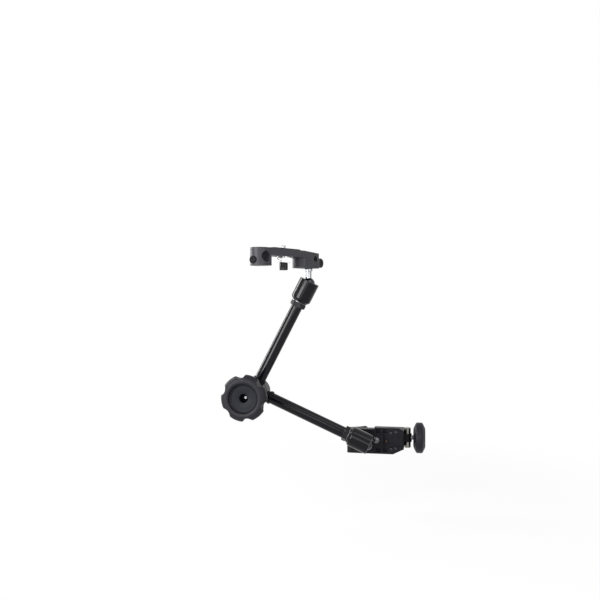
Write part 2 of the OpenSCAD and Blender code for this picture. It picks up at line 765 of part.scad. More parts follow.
// Front view of the cast body: a low left part, a raised middle, drawn in towards the knob
module clamp_front_view() {
    end_x = end_wall_x + end_wall_t;
    raised = clamp_half_h - 0.8;
    step_x = 10;
    step_z = raised - 2.4;
    end_low = -12.5;
    end_high = 16.5;
    polygon([[-hook_reach - 1, -clamp_half_h], [end_wall_x - 10, -clamp_half_h], [end_x + 1, end_low],
        [end_x + 1, end_high], [end_wall_x, raised], [step_x, raised], [step_x, step_z],
        [-hook_reach - 1, step_z - 1]]);
}
// Side view of what is cut from above the hook and the walls behind the spine
module hook_drop() {
    back = rear_y + rear_t + 1;
    above = clamp_half_h + 5;
    polygon([[spine_back - 6, above], [spine_back - 6, clamp_half_h - 4], [spine_back - 1, hook_half_h],
        [back, hook_half_h], [back, above]]);
}
module clamp_body() {
    end_x = end_wall_x + end_wall_t;
    boss_left = 14;
    color("#35353a") difference() {
        union() {
            intersection() {
                translate([0, 0, -clamp_half_h - 2]) linear_extrude(2 * clamp_half_h + 6) clamp_plan();
                translate([0, 60, 0]) rotate([90, 0, 0]) linear_extrude(160) clamp_front_view();
            }
            translate([-boss_left, -boss_front, -boss_half])
                cube([boss_left + boss_right, boss_front + spine_back - 4, 2 * boss_half]);
            translate([end_wall_x + 4, -eye_r, -eye_half])
                cube([barrel_x - end_wall_x - 4, 2 * eye_r, 2 * eye_half]);
            translate([barrel_x, 0, -eye_half]) cylinder(r = eye_r, h = 2 * eye_half);
            clamp_rib();
        }
        translate([0, -boss_front - 1, 0]) rotate([-90, 0, 0]) cylinder(r = socket_r, h = spigot_len + 1.6);
        translate([plunger_x, -boss_front - 1, plunger_z]) rotate([-90, 0, 0])
            cylinder(r = plunger_d / 2 + run_fit, h = 9);
        translate([plunger_x, -boss_front, plunger_z]) rotate([-90, 0, 0])
            cylinder(r = plunger_r + run_fit, h = 22);
        translate([barrel_x, 0, -eye_half - 1]) cylinder(r = barrel_d / 2 + set_fit, h = 2 * eye_half + 2);
        translate([end_wall_x - 1, 0, 0]) along_x() cylinder(r = spindle_r + 0.25, h = 40);
        translate([barrel_x, 0, eye_half]) cylinder(r = barrel_d / 2 + set_fit, h = 20);
        translate([barrel_x, 0, -eye_half - 20]) cylinder(r = barrel_d / 2 + set_fit, h = 20);
        for (s = [0, 1]) mirror([0, 0, s]) translate([-hook_reach - 2, 0, 0]) rotate([90, 0, 90])
            linear_extrude(hook_reach + end_x + 4) hook_drop();
        clamp_pockets();
        for (p = screw_spots) translate([p[0], spine_front - 1, p[1]]) rotate([-90, 0, 0])
            cylinder(r = screw_r, h = 9);
    }
}
// Lightening pockets above and below the boss
module clamp_pockets() {
    pocket = [7, 6, 6];
    rise = 15.2;
    for (x = [13, 24], s = [-1, 1])
        translate([x, spine_front - 1, s * rise - pocket[2] / 2]) cube(pocket);
}
// The raised rib on the front, a spearhead that points at the boss
module clamp_rib() {
    translate([0, spine_front + 1, 0]) rotate([90, 0, 0]) linear_extrude(5)
        polygon([[32, 0], [37, 3.4], [44, 6.2], [50, 5.4], [56.4, 9.5], [56.4, -9.5], [50, -6.4],
            [44, -5.6], [37, -3.4]]);
}
module rib_tip() {
    color("#b08d4a") translate([29.6, spine_front - 3.4, 0]) rotate([-90, 0, 0]) turned_disc(1.8, 0, 3.35, 0.3);
}
module clamp_screws() {
    color("#b9babd") for (p = screw_spots) translate([p[0], spine_front - 1.6, p[1]]) rotate([-90, 0, 0]) {
        difference() {
            turned_disc(2.6, 0, 1.55, 0.5);
            translate([0, 0, -1]) cylinder(d = 2.2, h = 2, $fn = 6);
        }
        translate([0, 0, 1.5]) cylinder(r = screw_r - set_fit, h = 7);
    }
}
module hook_pad() {
    color("#1b1b1d") translate([0, 0, -jaw_h / 2]) linear_extrude(jaw_h)
        ring_sector(pole_r, liner_r, hook_from + 2, hook_to - 2);
}
// The sliding jaw, with a hollow for its pad and a socket for the spindle's tip
module clamp_jaw() {
    channel = 5;
    channel_z = jaw_h / 2 - 5.5;
    color("#2e2e33") difference() {
        translate([0, -jaw_side, -jaw_h / 2]) cube([jaw_back, 2 * jaw_side, jaw_h]);
        translate([0, 0, -jaw_h / 2 - 1]) linear_extrude(jaw_h + 2) {
            circle(liner_r + set_fit);
            translate([-1, -jaw_side - 1]) square([liner_r * cos(58) + 1, 2 * jaw_side + 2]);
        }
        for (s = [-1, 1]) translate([liner_r + 5, -jaw_side - 1, s * channel_z - channel / 2])
            cube([jaw_back, jaw_side - 4, channel]);
        for (s = [-1, 1]) translate([liner_r + 5, 5, s * channel_z - channel / 2])
            cube([jaw_back, jaw_side, channel]);
        translate([jaw_back - spindle_seat, 0, 0]) along_x()
            cylinder(r = spindle_r + run_fit, h = spindle_seat + 1);
    }
}
module jaw_pad() {
    color("#1b1b1d") translate([0, 0, -jaw_h / 2]) linear_extrude(jaw_h)
        ring_sector(pole_r, liner_r, -52, 52);
}
module clamp_spindle() {
    tip_x = jaw_back - spindle_seat + 0.4;
    color("#9a9a9e") translate([tip_x, 0, 0]) along_x()
        turned_disc(spindle_r, 0, knob_hub_x + 10 - tip_x, 0.8);
}
module barrel_nut() {
    color("#cfd0d2") difference() {
        translate([barrel_x, 0, 0]) turned_disc(barrel_d / 2, -barrel_h / 2, barrel_h / 2, 0.6);
        translate([barrel_x - 10, 0, 0]) along_x() cylinder(r = spindle_r + run_fit, h = 20);
    }
}
// A smooth disc knob with flat faces and steep chamfers to its rim
module clamp_knob() {
    r = disc_knob_d / 2;
    side = (disc_knob_w - disc_knob_rim) / 2;
    flat_r = r * 0.62;
    color("#2b2b2f") translate([knob_hub_x, 0, 0]) along_x() difference() {
        rotate_extrude($fn = 96) polygon([[0, 0], [flat_r - 1, 0], [flat_r + 0.6, 0.4], [r - 1, side],
            [r, side + 1.6], [r, side + disc_knob_rim - 1.6], [r - 1, side + disc_knob_rim],
            [flat_r + 0.6, disc_knob_w - 0.4], [flat_r - 1, disc_knob_w], [0, disc_knob_w]]);
        translate([0, 0, -1]) cylinder(r = spindle_r + set_fit, h = 11.4);
    }
}
// Sprung button that locks the spigot
module lock_plunger() {
    color("#d5d6d8") translate([plunger_x, -boss_front - plunger_rise, plunger_z]) rotate([-90, 0, 0]) {
        turned_disc(plunger_d / 2, 0, plunger_rise + 4, 0.8);
        cylinder(r = plunger_r, h = plunger_rise + 17);
    }
}
module plunger_spring() {
    turns = 3;
    color("#b9babd") translate([plunger_x, -boss_front + 4.3, plunger_z]) rotate([-90, 0, 0])
        for (i = [0 : turns - 1]) translate([0, 0, 0.5 + i * 1.15]) rotate_extrude()
            translate([plunger_r + 1.2, 0]) circle(r = 0.45, $fn = 16);
}
module plunger_bush() {
    color("#8f9296") translate([plunger_x, -boss_front, plunger_z]) rotate([-90, 0, 0])
        turned_ring(plunger_d / 2, plunger_r + run_fit, bush_end - bush_t, bush_end, 0.05);
}

clamp_body();
hook_pad();
clamp_jaw();
jaw_pad();
clamp_spindle();
clamp_knob();
barrel_nut();
clamp_screws();
rib_tip();
lock_plunger();
plunger_spring();
plunger_bush();
lower_stud();
lower_housing();
lower_ring();
lower_nut();
lower_tube();
lower_hub();
lower_rod();
lower_cup();
lower_cone();
hub_bolt();
bolt_nut();
hub_cap();
disc_springs();
friction_washer();
upper_cone();
upper_hub();
upper_tube();
upper_nut();
upper_ring();
upper_housing();
upper_rod();
upper_cup();
upper_stud();
thrust_washer();
elbow_knob();
knob_insert();
knob_screw();
bracket();
bracket_pad();
side_screw();
end_screw();
wing_screw();
wing_head();
camera_screw();
camera_wing();
camera_ring();
camera_washer();
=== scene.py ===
import bpy, bmesh, math
from mathutils import Matrix, Vector


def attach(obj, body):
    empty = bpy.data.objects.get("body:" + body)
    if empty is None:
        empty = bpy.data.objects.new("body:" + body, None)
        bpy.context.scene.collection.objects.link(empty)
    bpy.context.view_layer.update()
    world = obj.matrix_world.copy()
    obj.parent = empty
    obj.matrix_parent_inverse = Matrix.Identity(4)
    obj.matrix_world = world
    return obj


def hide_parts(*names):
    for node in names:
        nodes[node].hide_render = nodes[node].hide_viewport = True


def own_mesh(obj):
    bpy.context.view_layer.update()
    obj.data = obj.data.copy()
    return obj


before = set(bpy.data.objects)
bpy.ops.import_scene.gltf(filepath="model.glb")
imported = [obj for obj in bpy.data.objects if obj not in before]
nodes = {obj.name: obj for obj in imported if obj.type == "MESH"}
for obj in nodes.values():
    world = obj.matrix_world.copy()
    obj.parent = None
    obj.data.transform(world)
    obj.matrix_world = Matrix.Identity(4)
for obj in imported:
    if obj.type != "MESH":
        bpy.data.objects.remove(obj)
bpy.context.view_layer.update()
mm = 0.001
print("frame loaded,", len(nodes), "solids")

# where the arm stands, millimetres and degrees, as in the solids
armPlan = {
    "reach": 196.5, "lowerSlope": 23.9, "upperSlope": 62.7, "ballY": -62.0, "hubWidth": 28.0,
    "bracketRise": 24.0, "bracketTurn": 63.0, "slotTurn": 156,
}
lowerSlope = math.radians(armPlan["lowerSlope"])
upperSlope = math.radians(armPlan["upperSlope"])
elbow = Vector((-armPlan["reach"] * math.cos(lowerSlope), 0, armPlan["reach"] * math.sin(lowerSlope)))
topBall = Vector((elbow.x + armPlan["reach"] * math.cos(upperSlope), armPlan["ballY"] - armPlan["hubWidth"],
    elbow.z + armPlan["reach"] * math.sin(upperSlope)))
lowerPlace = Matrix.Translation((elbow.x, armPlan["ballY"], elbow.z)) @ Matrix.Rotation(lowerSlope, 4, "Y")
upperPlace = Matrix.Translation((elbow.x, topBall.y, elbow.z)) @ Matrix.Rotation(-upperSlope, 4, "Y")
elbowPlace = Matrix.Translation((elbow.x, armPlan["ballY"] - armPlan["hubWidth"] / 2,
    elbow.z)) @ Matrix.Rotation(math.pi / 2, 4, "X")
bracketPlace = Matrix.Translation((topBall.x, topBall.y,
    topBall.z + armPlan["bracketRise"])) @ Matrix.Rotation(math.radians(armPlan["bracketTurn"]), 4, "Z")
alongX = Matrix.Rotation(math.pi / 2, 4, "Y")  # a shape turned about +Z then lies along +X
alongY = Matrix.Rotation(-math.pi / 2, 4, "X")  # and here along +Y


def addNode(tree, kind, links=(), **settings):
    node = tree.nodes.new(kind)
    for key, value in settings.items():
        if key == "values":
            for socket, number in value.items():
                node.inputs[socket].default_value = number
        else:
            setattr(node, key, value)
    for socket, source in dict(links).items():
        tree.links.new(source, node.inputs[socket])
    return node


def newGroup(name, takes, gives):
    tree = bpy.data.node_groups.new(name, "ShaderNodeTree")
    for label, kind, value in takes:
        socket = tree.interface.new_socket(name=label, in_out="INPUT", socket_type=kind)
        if value is not None:
            socket.default_value = value
    for label, kind in gives:
        tree.interface.new_socket(name=label, in_out="OUTPUT", socket_type=kind)
    return tree, tree.nodes.new("NodeGroupInput"), tree.nodes.new("NodeGroupOutput")


def math2(tree, operation, a, b=None, clamp=False):
    node = tree.nodes.new("ShaderNodeMath")
    node.operation = operation
    node.use_clamp = clamp
    for index, source in enumerate((a, b)):
        if source is None:
            continue
        if isinstance(source, (int, float)):
            node.inputs[index].default_value = source
        else:
            tree.links.new(source, node.inputs[index])
    return node.outputs[0]


def softEdgeGroup():
    # rounded corners for the light, and a mask of the worn edges
    tree, takes, gives = newGroup("softEdge", [("Radius", "NodeSocketFloat", 0.0005),
        ("Wear", "NodeSocketFloat", 0.5), ("Wear Scale", "NodeSocketFloat", 300.0)],
            [("Normal", "NodeSocketVector"), ("Worn", "NodeSocketFloat")])
    bevel = addNode(tree, "ShaderNodeBevel", {"Radius": takes.outputs["Radius"]}, samples=6)
    flat = addNode(tree, "ShaderNodeNewGeometry")
    turn = addNode(tree, "ShaderNodeVectorMath", {0: bevel.outputs["Normal"], 1: flat.outputs["Normal"]},
        operation="DOT_PRODUCT")
    bend = math2(tree, "SUBTRACT", 1.0, turn.outputs["Value"], True)
    coords = addNode(tree, "ShaderNodeTexCoord")
    patches = addNode(tree, "ShaderNodeTexNoise", {"Vector": coords.outputs["Object"],
        "Scale": takes.outputs["Wear Scale"]}, values={"Detail": 3.0, "Roughness": 0.6})
    worn = math2(tree, "MULTIPLY", bend, 9.0, True)
    patchy = addNode(tree, "ShaderNodeMapRange", {"Value": patches.outputs["Fac"]},
        values={"From Min": 0.42, "From Max": 0.62})
    mask = math2(tree, "MULTIPLY", math2(tree, "MULTIPLY", worn, patchy.outputs["Result"]), takes.outputs["Wear"],
        True)
    tree.links.new(bevel.outputs["Normal"], gives.inputs["Normal"])
    tree.links.new(mask, gives.inputs["Worn"])
    return tree


def castSkinGroup():
    # the orange-peel skin of a painted casting: fine grain over slow waves
    tree, takes, gives = newGroup("castSkin", [("Grain", "NodeSocketFloat", 2600.0),
        ("Waves", "NodeSocketFloat", 140.0)], [("Height", "NodeSocketFloat"), ("Shade", "NodeSocketFloat")])
    coords = addNode(tree, "ShaderNodeTexCoord")
    fine = addNode(tree, "ShaderNodeTexNoise", {"Vector": coords.outputs["Object"], "Scale": takes.outputs["Grain"]},
        values={"Detail": 4.0, "Roughness": 0.65})
    slow = addNode(tree, "ShaderNodeTexNoise", {"Vector": coords.outputs["Object"], "Scale": takes.outputs["Waves"]},
        values={"Detail": 2.0})
    pits = addNode(tree, "ShaderNodeTexVoronoi", {"Vector": coords.outputs["Object"]}, values={"Scale": 900.0})
    pitted = addNode(tree, "ShaderNodeMapRange", {"Value": pits.outputs["Distance"]},
        values={"From Min": 0.0, "From Max": 0.35})
    mixed = math2(tree, "ADD", math2(tree, "MULTIPLY", fine.outputs["Fac"], 0.6),
        math2(tree, "MULTIPLY", pitted.outputs["Result"], 0.4))
    tree.links.new(mixed, gives.inputs["Height"])
    tree.links.new(slow.outputs["Fac"], gives.inputs["Shade"])
    return tree


def smudgeGroup():
    # soft handling marks and a little dust, for roughness and colour
    tree, takes, gives = newGroup("smudge", [("Scale", "NodeSocketFloat", 60.0), ("Seed", "NodeSocketFloat", 0.0)],
        [("Marks", "NodeSocketFloat"), ("Dust", "NodeSocketFloat")])
    coords = addNode(tree, "ShaderNodeTexCoord")
    marks = addNode(tree, "ShaderNodeTexNoise", {"Vector": coords.outputs["Object"], "Scale": takes.outputs["Scale"],
        "W": takes.outputs["Seed"]}, noise_dimensions="4D", values={"Detail": 4.0, "Roughness": 0.55,
        "Distortion": 0.6})
    specks = addNode(tree, "ShaderNodeTexNoise", {"Vector": coords.outputs["Object"]},
        values={"Scale": 4200.0, "Detail": 1.0})
    dust = addNode(tree, "ShaderNodeMapRange", {"Value": specks.outputs["Fac"]},
        values={"From Min": 0.66, "From Max": 0.78})
    spread = addNode(tree, "ShaderNodeMapRange", {"Value": marks.outputs["Fac"]},
        values={"From Min": 0.3, "From Max": 0.7})
    tree.links.new(spread.outputs["Result"], gives.inputs["Marks"])
    tree.links.new(dust.outputs["Result"], gives.inputs["Dust"])
    return tree


def turnMarksGroup():
    # fine rings left by turning, across the axis that the vector's z follows
    tree, takes, gives = newGroup("turnMarks", [("Vector", "NodeSocketVector", None),
        ("Rings", "NodeSocketFloat", 9000.0)], [("Height", "NodeSocketFloat"), ("Shade", "NodeSocketFloat")])
    parts = addNode(tree, "ShaderNodeSeparateXYZ", {"Vector": takes.outputs["Vector"]})
    square = math2(tree, "ADD", math2(tree, "MULTIPLY", parts.outputs["X"], parts.outputs["X"]),
        math2(tree, "MULTIPLY", parts.outputs["Y"], parts.outputs["Y"]))
    reach = math2(tree, "ADD", math2(tree, "SQRT", square), parts.outputs["Z"])
    rings = addNode(tree, "ShaderNodeTexNoise", {"W": math2(tree, "MULTIPLY", reach, takes.outputs["Rings"])},
        noise_dimensions="1D", values={"Scale": 1.0, "Detail": 2.0})
    wide = addNode(tree, "ShaderNodeTexNoise", {"W": math2(tree, "MULTIPLY", reach, 700.0)}, noise_dimensions="1D",
        values={"Scale": 1.0, "Detail": 2.0})
    tree.links.new(rings.outputs["Fac"], gives.inputs["Height"])
    tree.links.new(wide.outputs["Fac"], gives.inputs["Shade"])
    return tree


softEdge, castSkin, smudge, turnMarks = softEdgeGroup(), castSkinGroup(), smudgeGroup(), turnMarksGroup()


def finish(name, colour, rough, metal=0.0, shine=0.5, edge=0.0004, wear=0.0, wornColour=None, grain=0.0,
        grainSize=2600.0, rings=0.0, axis=None, marks=0.08, shade=0.12, dust=0.0, seed=0.0):
    material = bpy.data.materials.new(name)
    material.use_nodes = True
    tree = material.node_tree
    shader = tree.nodes["Principled BSDF"]
    shader.inputs["Specular IOR Level"].default_value = shine
    edges = edge and addNode(tree, "ShaderNodeGroup", node_tree=softEdge, values={"Radius": edge, "Wear": wear})
    handled = addNode(tree, "ShaderNodeGroup", node_tree=smudge, values={"Seed": seed})
    tint = addNode(tree, "ShaderNodeMix", data_type="RGBA")
    tint.inputs["A"].default_value = (*[c * (1 - shade) for c in colour], 1)
    tint.inputs["B"].default_value = (*[min(1, c * (1 + shade)) for c in colour], 1)
    if axis is not None:
        coords = addNode(tree, "ShaderNodeTexCoord")
        place = addNode(tree, "ShaderNodeMapping", {"Vector": coords.outputs["Object"]}, vector_type="POINT")
        place.inputs["Location"].default_value = axis[0]
        place.inputs["Rotation"].default_value = axis[1]
        lines = addNode(tree, "ShaderNodeGroup", {"Vector": place.outputs["Vector"]}, node_tree=turnMarks)
        tree.links.new(lines.outputs["Shade"], tint.inputs["Factor"])
        height, depth = lines.outputs["Height"], rings
    else:
        skin = addNode(tree, "ShaderNodeGroup", node_tree=castSkin, values={"Grain": grainSize})
        tree.links.new(skin.outputs["Shade"], tint.inputs["Factor"])
        height, depth = skin.outputs["Height"], grain
    skinColour = tint.outputs["Result"]
    if wear:
        worn = addNode(tree, "ShaderNodeMix", {"Factor": edges.outputs["Worn"], "A": skinColour}, data_type="RGBA")
        worn.inputs["B"].default_value = (*(wornColour or [min(1, c * 2.2 + 0.02) for c in colour]), 1)
        skinColour = worn.outputs["Result"]
    dusty = addNode(tree, "ShaderNodeMix", {"Factor": math2(tree, "MULTIPLY", handled.outputs["Dust"], dust),
        "A": skinColour}, data_type="RGBA")
    dusty.inputs["B"].default_value = (0.3, 0.29, 0.28, 1)
    tree.links.new(dusty.outputs["Result"], shader.inputs["Base Color"])
    spread = addNode(tree, "ShaderNodeMapRange", {"Value": handled.outputs["Marks"]},
        values={"To Min": max(0.02, rough - marks), "To Max": min(1, rough + marks)})
    tree.links.new(spread.outputs["Result"], shader.inputs["Roughness"])
    if wear:
        tree.links.new(edges.outputs["Worn"], shader.inputs["Metallic"])
    else:
        shader.inputs["Metallic"].default_value = metal
    bump = addNode(tree, "ShaderNodeBump", {"Height": height}, values={"Strength": 1.0, "Distance": depth})
    if edge:
        tree.links.new(edges.outputs["Normal"], bump.inputs["Normal"])
    tree.links.new(bump.outputs["Normal"], shader.inputs["Normal"])
    return material


def lineAxis(place):
    # location and rotation for a Mapping that brings a piece's axis onto z
    back = place.inverted()
    scaled = Matrix.Translation(back.to_translation() * mm) @ back.to_3x3().to_4x4()
    return scaled.to_translation(), back.to_euler()


elbowAxis = lineAxis(elbowPlace)
glossBlack = {"colour": (0.0019, 0.0019, 0.0034), "rough": 0.17, "shine": 0.19, "marks": 0.04, "shade": 0.2,
    "dust": 0.012, "edge": 0}
finishes = {
    "tubeBlack": finish("tubeBlack", grain=0.0000015, grainSize=500.0, **glossBlack),
    "hubBlack": finish("hubBlack", wear=0.2, wornColour=(0.06, 0.06, 0.065), grain=0.000005, grainSize=1200.0,
        **{**glossBlack, "edge": 0.0008, "rough": 0.32, "shine": 0.1}),
    "bareEdge": finish("bareEdge", (0.13, 0.13, 0.14), 0.3, metal=1.0, edge=0, marks=0.06),
    "clampCast": finish("clampCast", (0.0044, 0.0044, 0.0066), 0.4, shine=0.12, edge=0.0014, wear=0.3,
        wornColour=(0.03, 0.03, 0.035), grain=0.000016, marks=0.08, shade=0.16, dust=0.03),
    "bracketCast": finish("bracketCast", (0.031, 0.031, 0.0365), 0.42, shine=0.2, edge=0.0012, wear=0.3,
        wornColour=(0.12, 0.12, 0.13), grain=0.000014, marks=0.08, shade=0.14, dust=0.03, seed=3.0),
    "nutBlack": finish("nutBlack", (0.005, 0.005, 0.0068), 0.28, shine=0.18, edge=0.0005, wear=0.5,
        wornColour=(0.12, 0.12, 0.125), grain=0.000005, grainSize=3000.0),
    "chrome": finish("chrome", (0.74, 0.74, 0.75), 0.3, metal=1.0, edge=0, marks=0.03, shade=0.05),
    "darkChrome": finish("darkChrome", (0.12, 0.12, 0.128), 0.2, metal=1.0, edge=0, marks=0.05, shade=0.1),
    "ringChrome": finish("ringChrome", (0.1, 0.1, 0.105), 0.3, metal=1.0, edge=0, marks=0.04, shade=0.08),
    "steel": finish("steel", (0.5, 0.5, 0.51), 0.24, metal=1.0, edge=0, marks=0.07, shade=0.1, grain=0.000003,
        grainSize=1800.0),
    "studSteel": finish("studSteel", (0.27, 0.275, 0.29), 0.15, metal=1.0, edge=0, marks=0.03, shade=0.06),
    # painted shade: the stud's steel made far darker for the ball, standing in for the shadow inside the housing's
    # mouth; the clamp's screw heads use it too
    "shadedSteel": finish("shadedSteel", (0.045, 0.045, 0.05), 0.22, metal=1.0, edge=0, marks=0.05, shade=0.14,
        grain=0.000002, grainSize=1400.0),
    "innerSteel": finish("innerSteel", (0.3, 0.305, 0.32), 0.32, metal=1.0, edge=0, marks=0.08, shade=0.14,
        grain=0.000004),
    "brass": finish("brass", (0.3, 0.2, 0.085), 0.28, metal=1.0, edge=0, marks=0.06, shade=0.14, grain=0.000003),
    "nickel": finish("nickel", (0.26, 0.25, 0.22), 0.3, metal=1.0, edge=0, marks=0.05, shade=0.1),
    "tipBrass": finish("tipBrass", (0.06, 0.042, 0.025), 0.45, metal=1.0, edge=0, marks=0.06, shade=0.14),
    "knobGrey": finish("knobGrey", (0.0088, 0.0088, 0.012), 0.52, shine=0.17, edge=0.0008, grain=0.00002,
        grainSize=2200.0, marks=0.06, shade=0.1, dust=0.02, seed=5.0),
    "dishGrey": finish("dishGrey", (0.0035, 0.0046, 0.008), 0.5, shine=0.14, edge=0.0004, rings=0.000004,
        axis=elbowAxis, marks=0.05, shade=0.12, dust=0.02),
    "knobBlack": finish("knobBlack", (0.0074, 0.0074, 0.0102), 0.46, shine=0.16, edge=0.0008, grain=0.000018,
        marks=0.07, shade=0.12, dust=0.02, seed=7.0),
    "wingBlack": finish("wingBlack", (0.003, 0.003, 0.0035), 0.15, shine=0.2, edge=0.0009, marks=0.05, shade=0.2),
    "rubber": finish("rubber", (0.008, 0.008, 0.0092), 0.7, shine=0.18, edge=0.0004, grain=0.00003, grainSize=1600.0,
        marks=0.06, shade=0.2, dust=0.06),
    "fibre": finish("fibre", (0.13, 0.09, 0.055), 0.75, shine=0.2, edge=0.0002, grain=0.00003, marks=0.05, shade=0.2),
}
print("finishes made")


def addPiece(name, mesh, body, replaced, materials, place=None, sharp=32):
    if place is not None:
        mesh.transform(place)
    mesh.transform(Matrix.Scale(mm, 4))
    for material in materials:
        mesh.materials.append(finishes[material])
    mesh.shade_smooth()
    mesh.set_sharp_from_angle(angle=math.radians(sharp))
    piece = bpy.data.objects.new(name, mesh)
    bpy.context.scene.collection.objects.link(piece)
    if replaced:
        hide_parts(*replaced)
    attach(piece, body)
    return piece


def roundedProfile(points, steps=3):
    # each point is (radius, height, rounding); rounds its corner with a short arc
    made = []
    count = len(points)
    for index, point in enumerate(points):
        radius, height = point[0], point[1]
        fillet = point[2] if len(point) > 2 else 0
        if not fillet or index in (0, count - 1):
            made.append((radius, height))
            continue
        here = Vector((radius, height))
        before, after = Vector(points[index - 1][:2]) - here, Vector(points[index + 1][:2]) - here
        reach = min(fillet, before.length * 0.48, after.length * 0.48)
        start, end = here + before.normalized() * reach, here + after.normalized() * reach
        for step in range(steps + 1):
            t = step / steps
            spot = start * (1 - t) ** 2 + here * 2 * t * (1 - t) + end * t ** 2
            made.append((spot.x, spot.y))
    return made


def turnedMesh(name, profile, steps=96, closed=False):
    # a profile of (radius, height) turned about +Z; ends on the axis are poles
    bm = bmesh.new()
    rows = []
    for radius, height in profile:
        if radius < 1e-6:
            rows.append([bm.verts.new((0, 0, height))])
        else:
            rows.append([bm.verts.new((radius * math.cos(2 * math.pi * k / steps),
                radius * math.sin(2 * math.pi * k / steps), height)) for k in range(steps)])
    pairs = list(zip(rows, rows[1:])) + ([(rows[-1], rows[0])] if closed else [])
    for low, high in pairs:
        for k in range(steps):
            n = (k + 1) % steps
            corners = [low[k % len(low)], low[n % len(low)], high[n % len(high)], high[k % len(high)]]
            corners = [c for i, c in enumerate(corners) if c not in corners[:i]]
            if len(corners) > 2:
                bm.faces.new(corners)
    bmesh.ops.recalc_face_normals(bm, faces=bm.faces)
    mesh = bpy.data.meshes.new(name)
    bm.to_mesh(mesh)
    bm.free()
    return mesh


def gridMesh(name, rows, materialRows=None, capFirst=False, capLast=False, closed=False):
    # closed rings of points joined row by row; materialRows gives a second finish to some strips
    bm = bmesh.new()
    rings = [[bm.verts.new(p) for p in row] for row in rows]
    count = len(rows[0])
    pairs = list(zip(rings, rings[1:])) + ([(rings[-1], rings[0])] if closed else [])
    for number, (low, high) in enumerate(pairs):
        for k in range(count):
            n = (k + 1) % count
            face = bm.faces.new((low[k], low[n], high[n], high[k]))
            if materialRows and number in materialRows:
                face.material_index = materialRows[number]
    if capFirst:
        bm.faces.new(rings[0])
    if capLast:
        bm.faces.new(rings[-1])
    bmesh.ops.recalc_face_normals(bm, faces=bm.faces)
    mesh = bpy.data.meshes.new(name)
    bm.to_mesh(mesh)
    bm.free()
    return mesh


housingForm = {
    "radius": 16.0, "mouth": 201.0, "shoulder": 171.0, "shoulderRound": 5.0, "flangeRadius": 12.6,
    "flangeStart": 165.2,
    "boreRadius": 9.05, "tubeEnd": 177.05, "webRadius": 8.05, "cupStart": 178.9, "ballRadius": 10.05,
    "slotWidth": 10.6, "chamfer": 0.55,
    "plainTo": 187.0, "mouthSteps": 132, "wallSteps": 8, "floorSteps": 30, "roomRows": 6, "outerRows": 16,
    "arcSteps": 10,
}


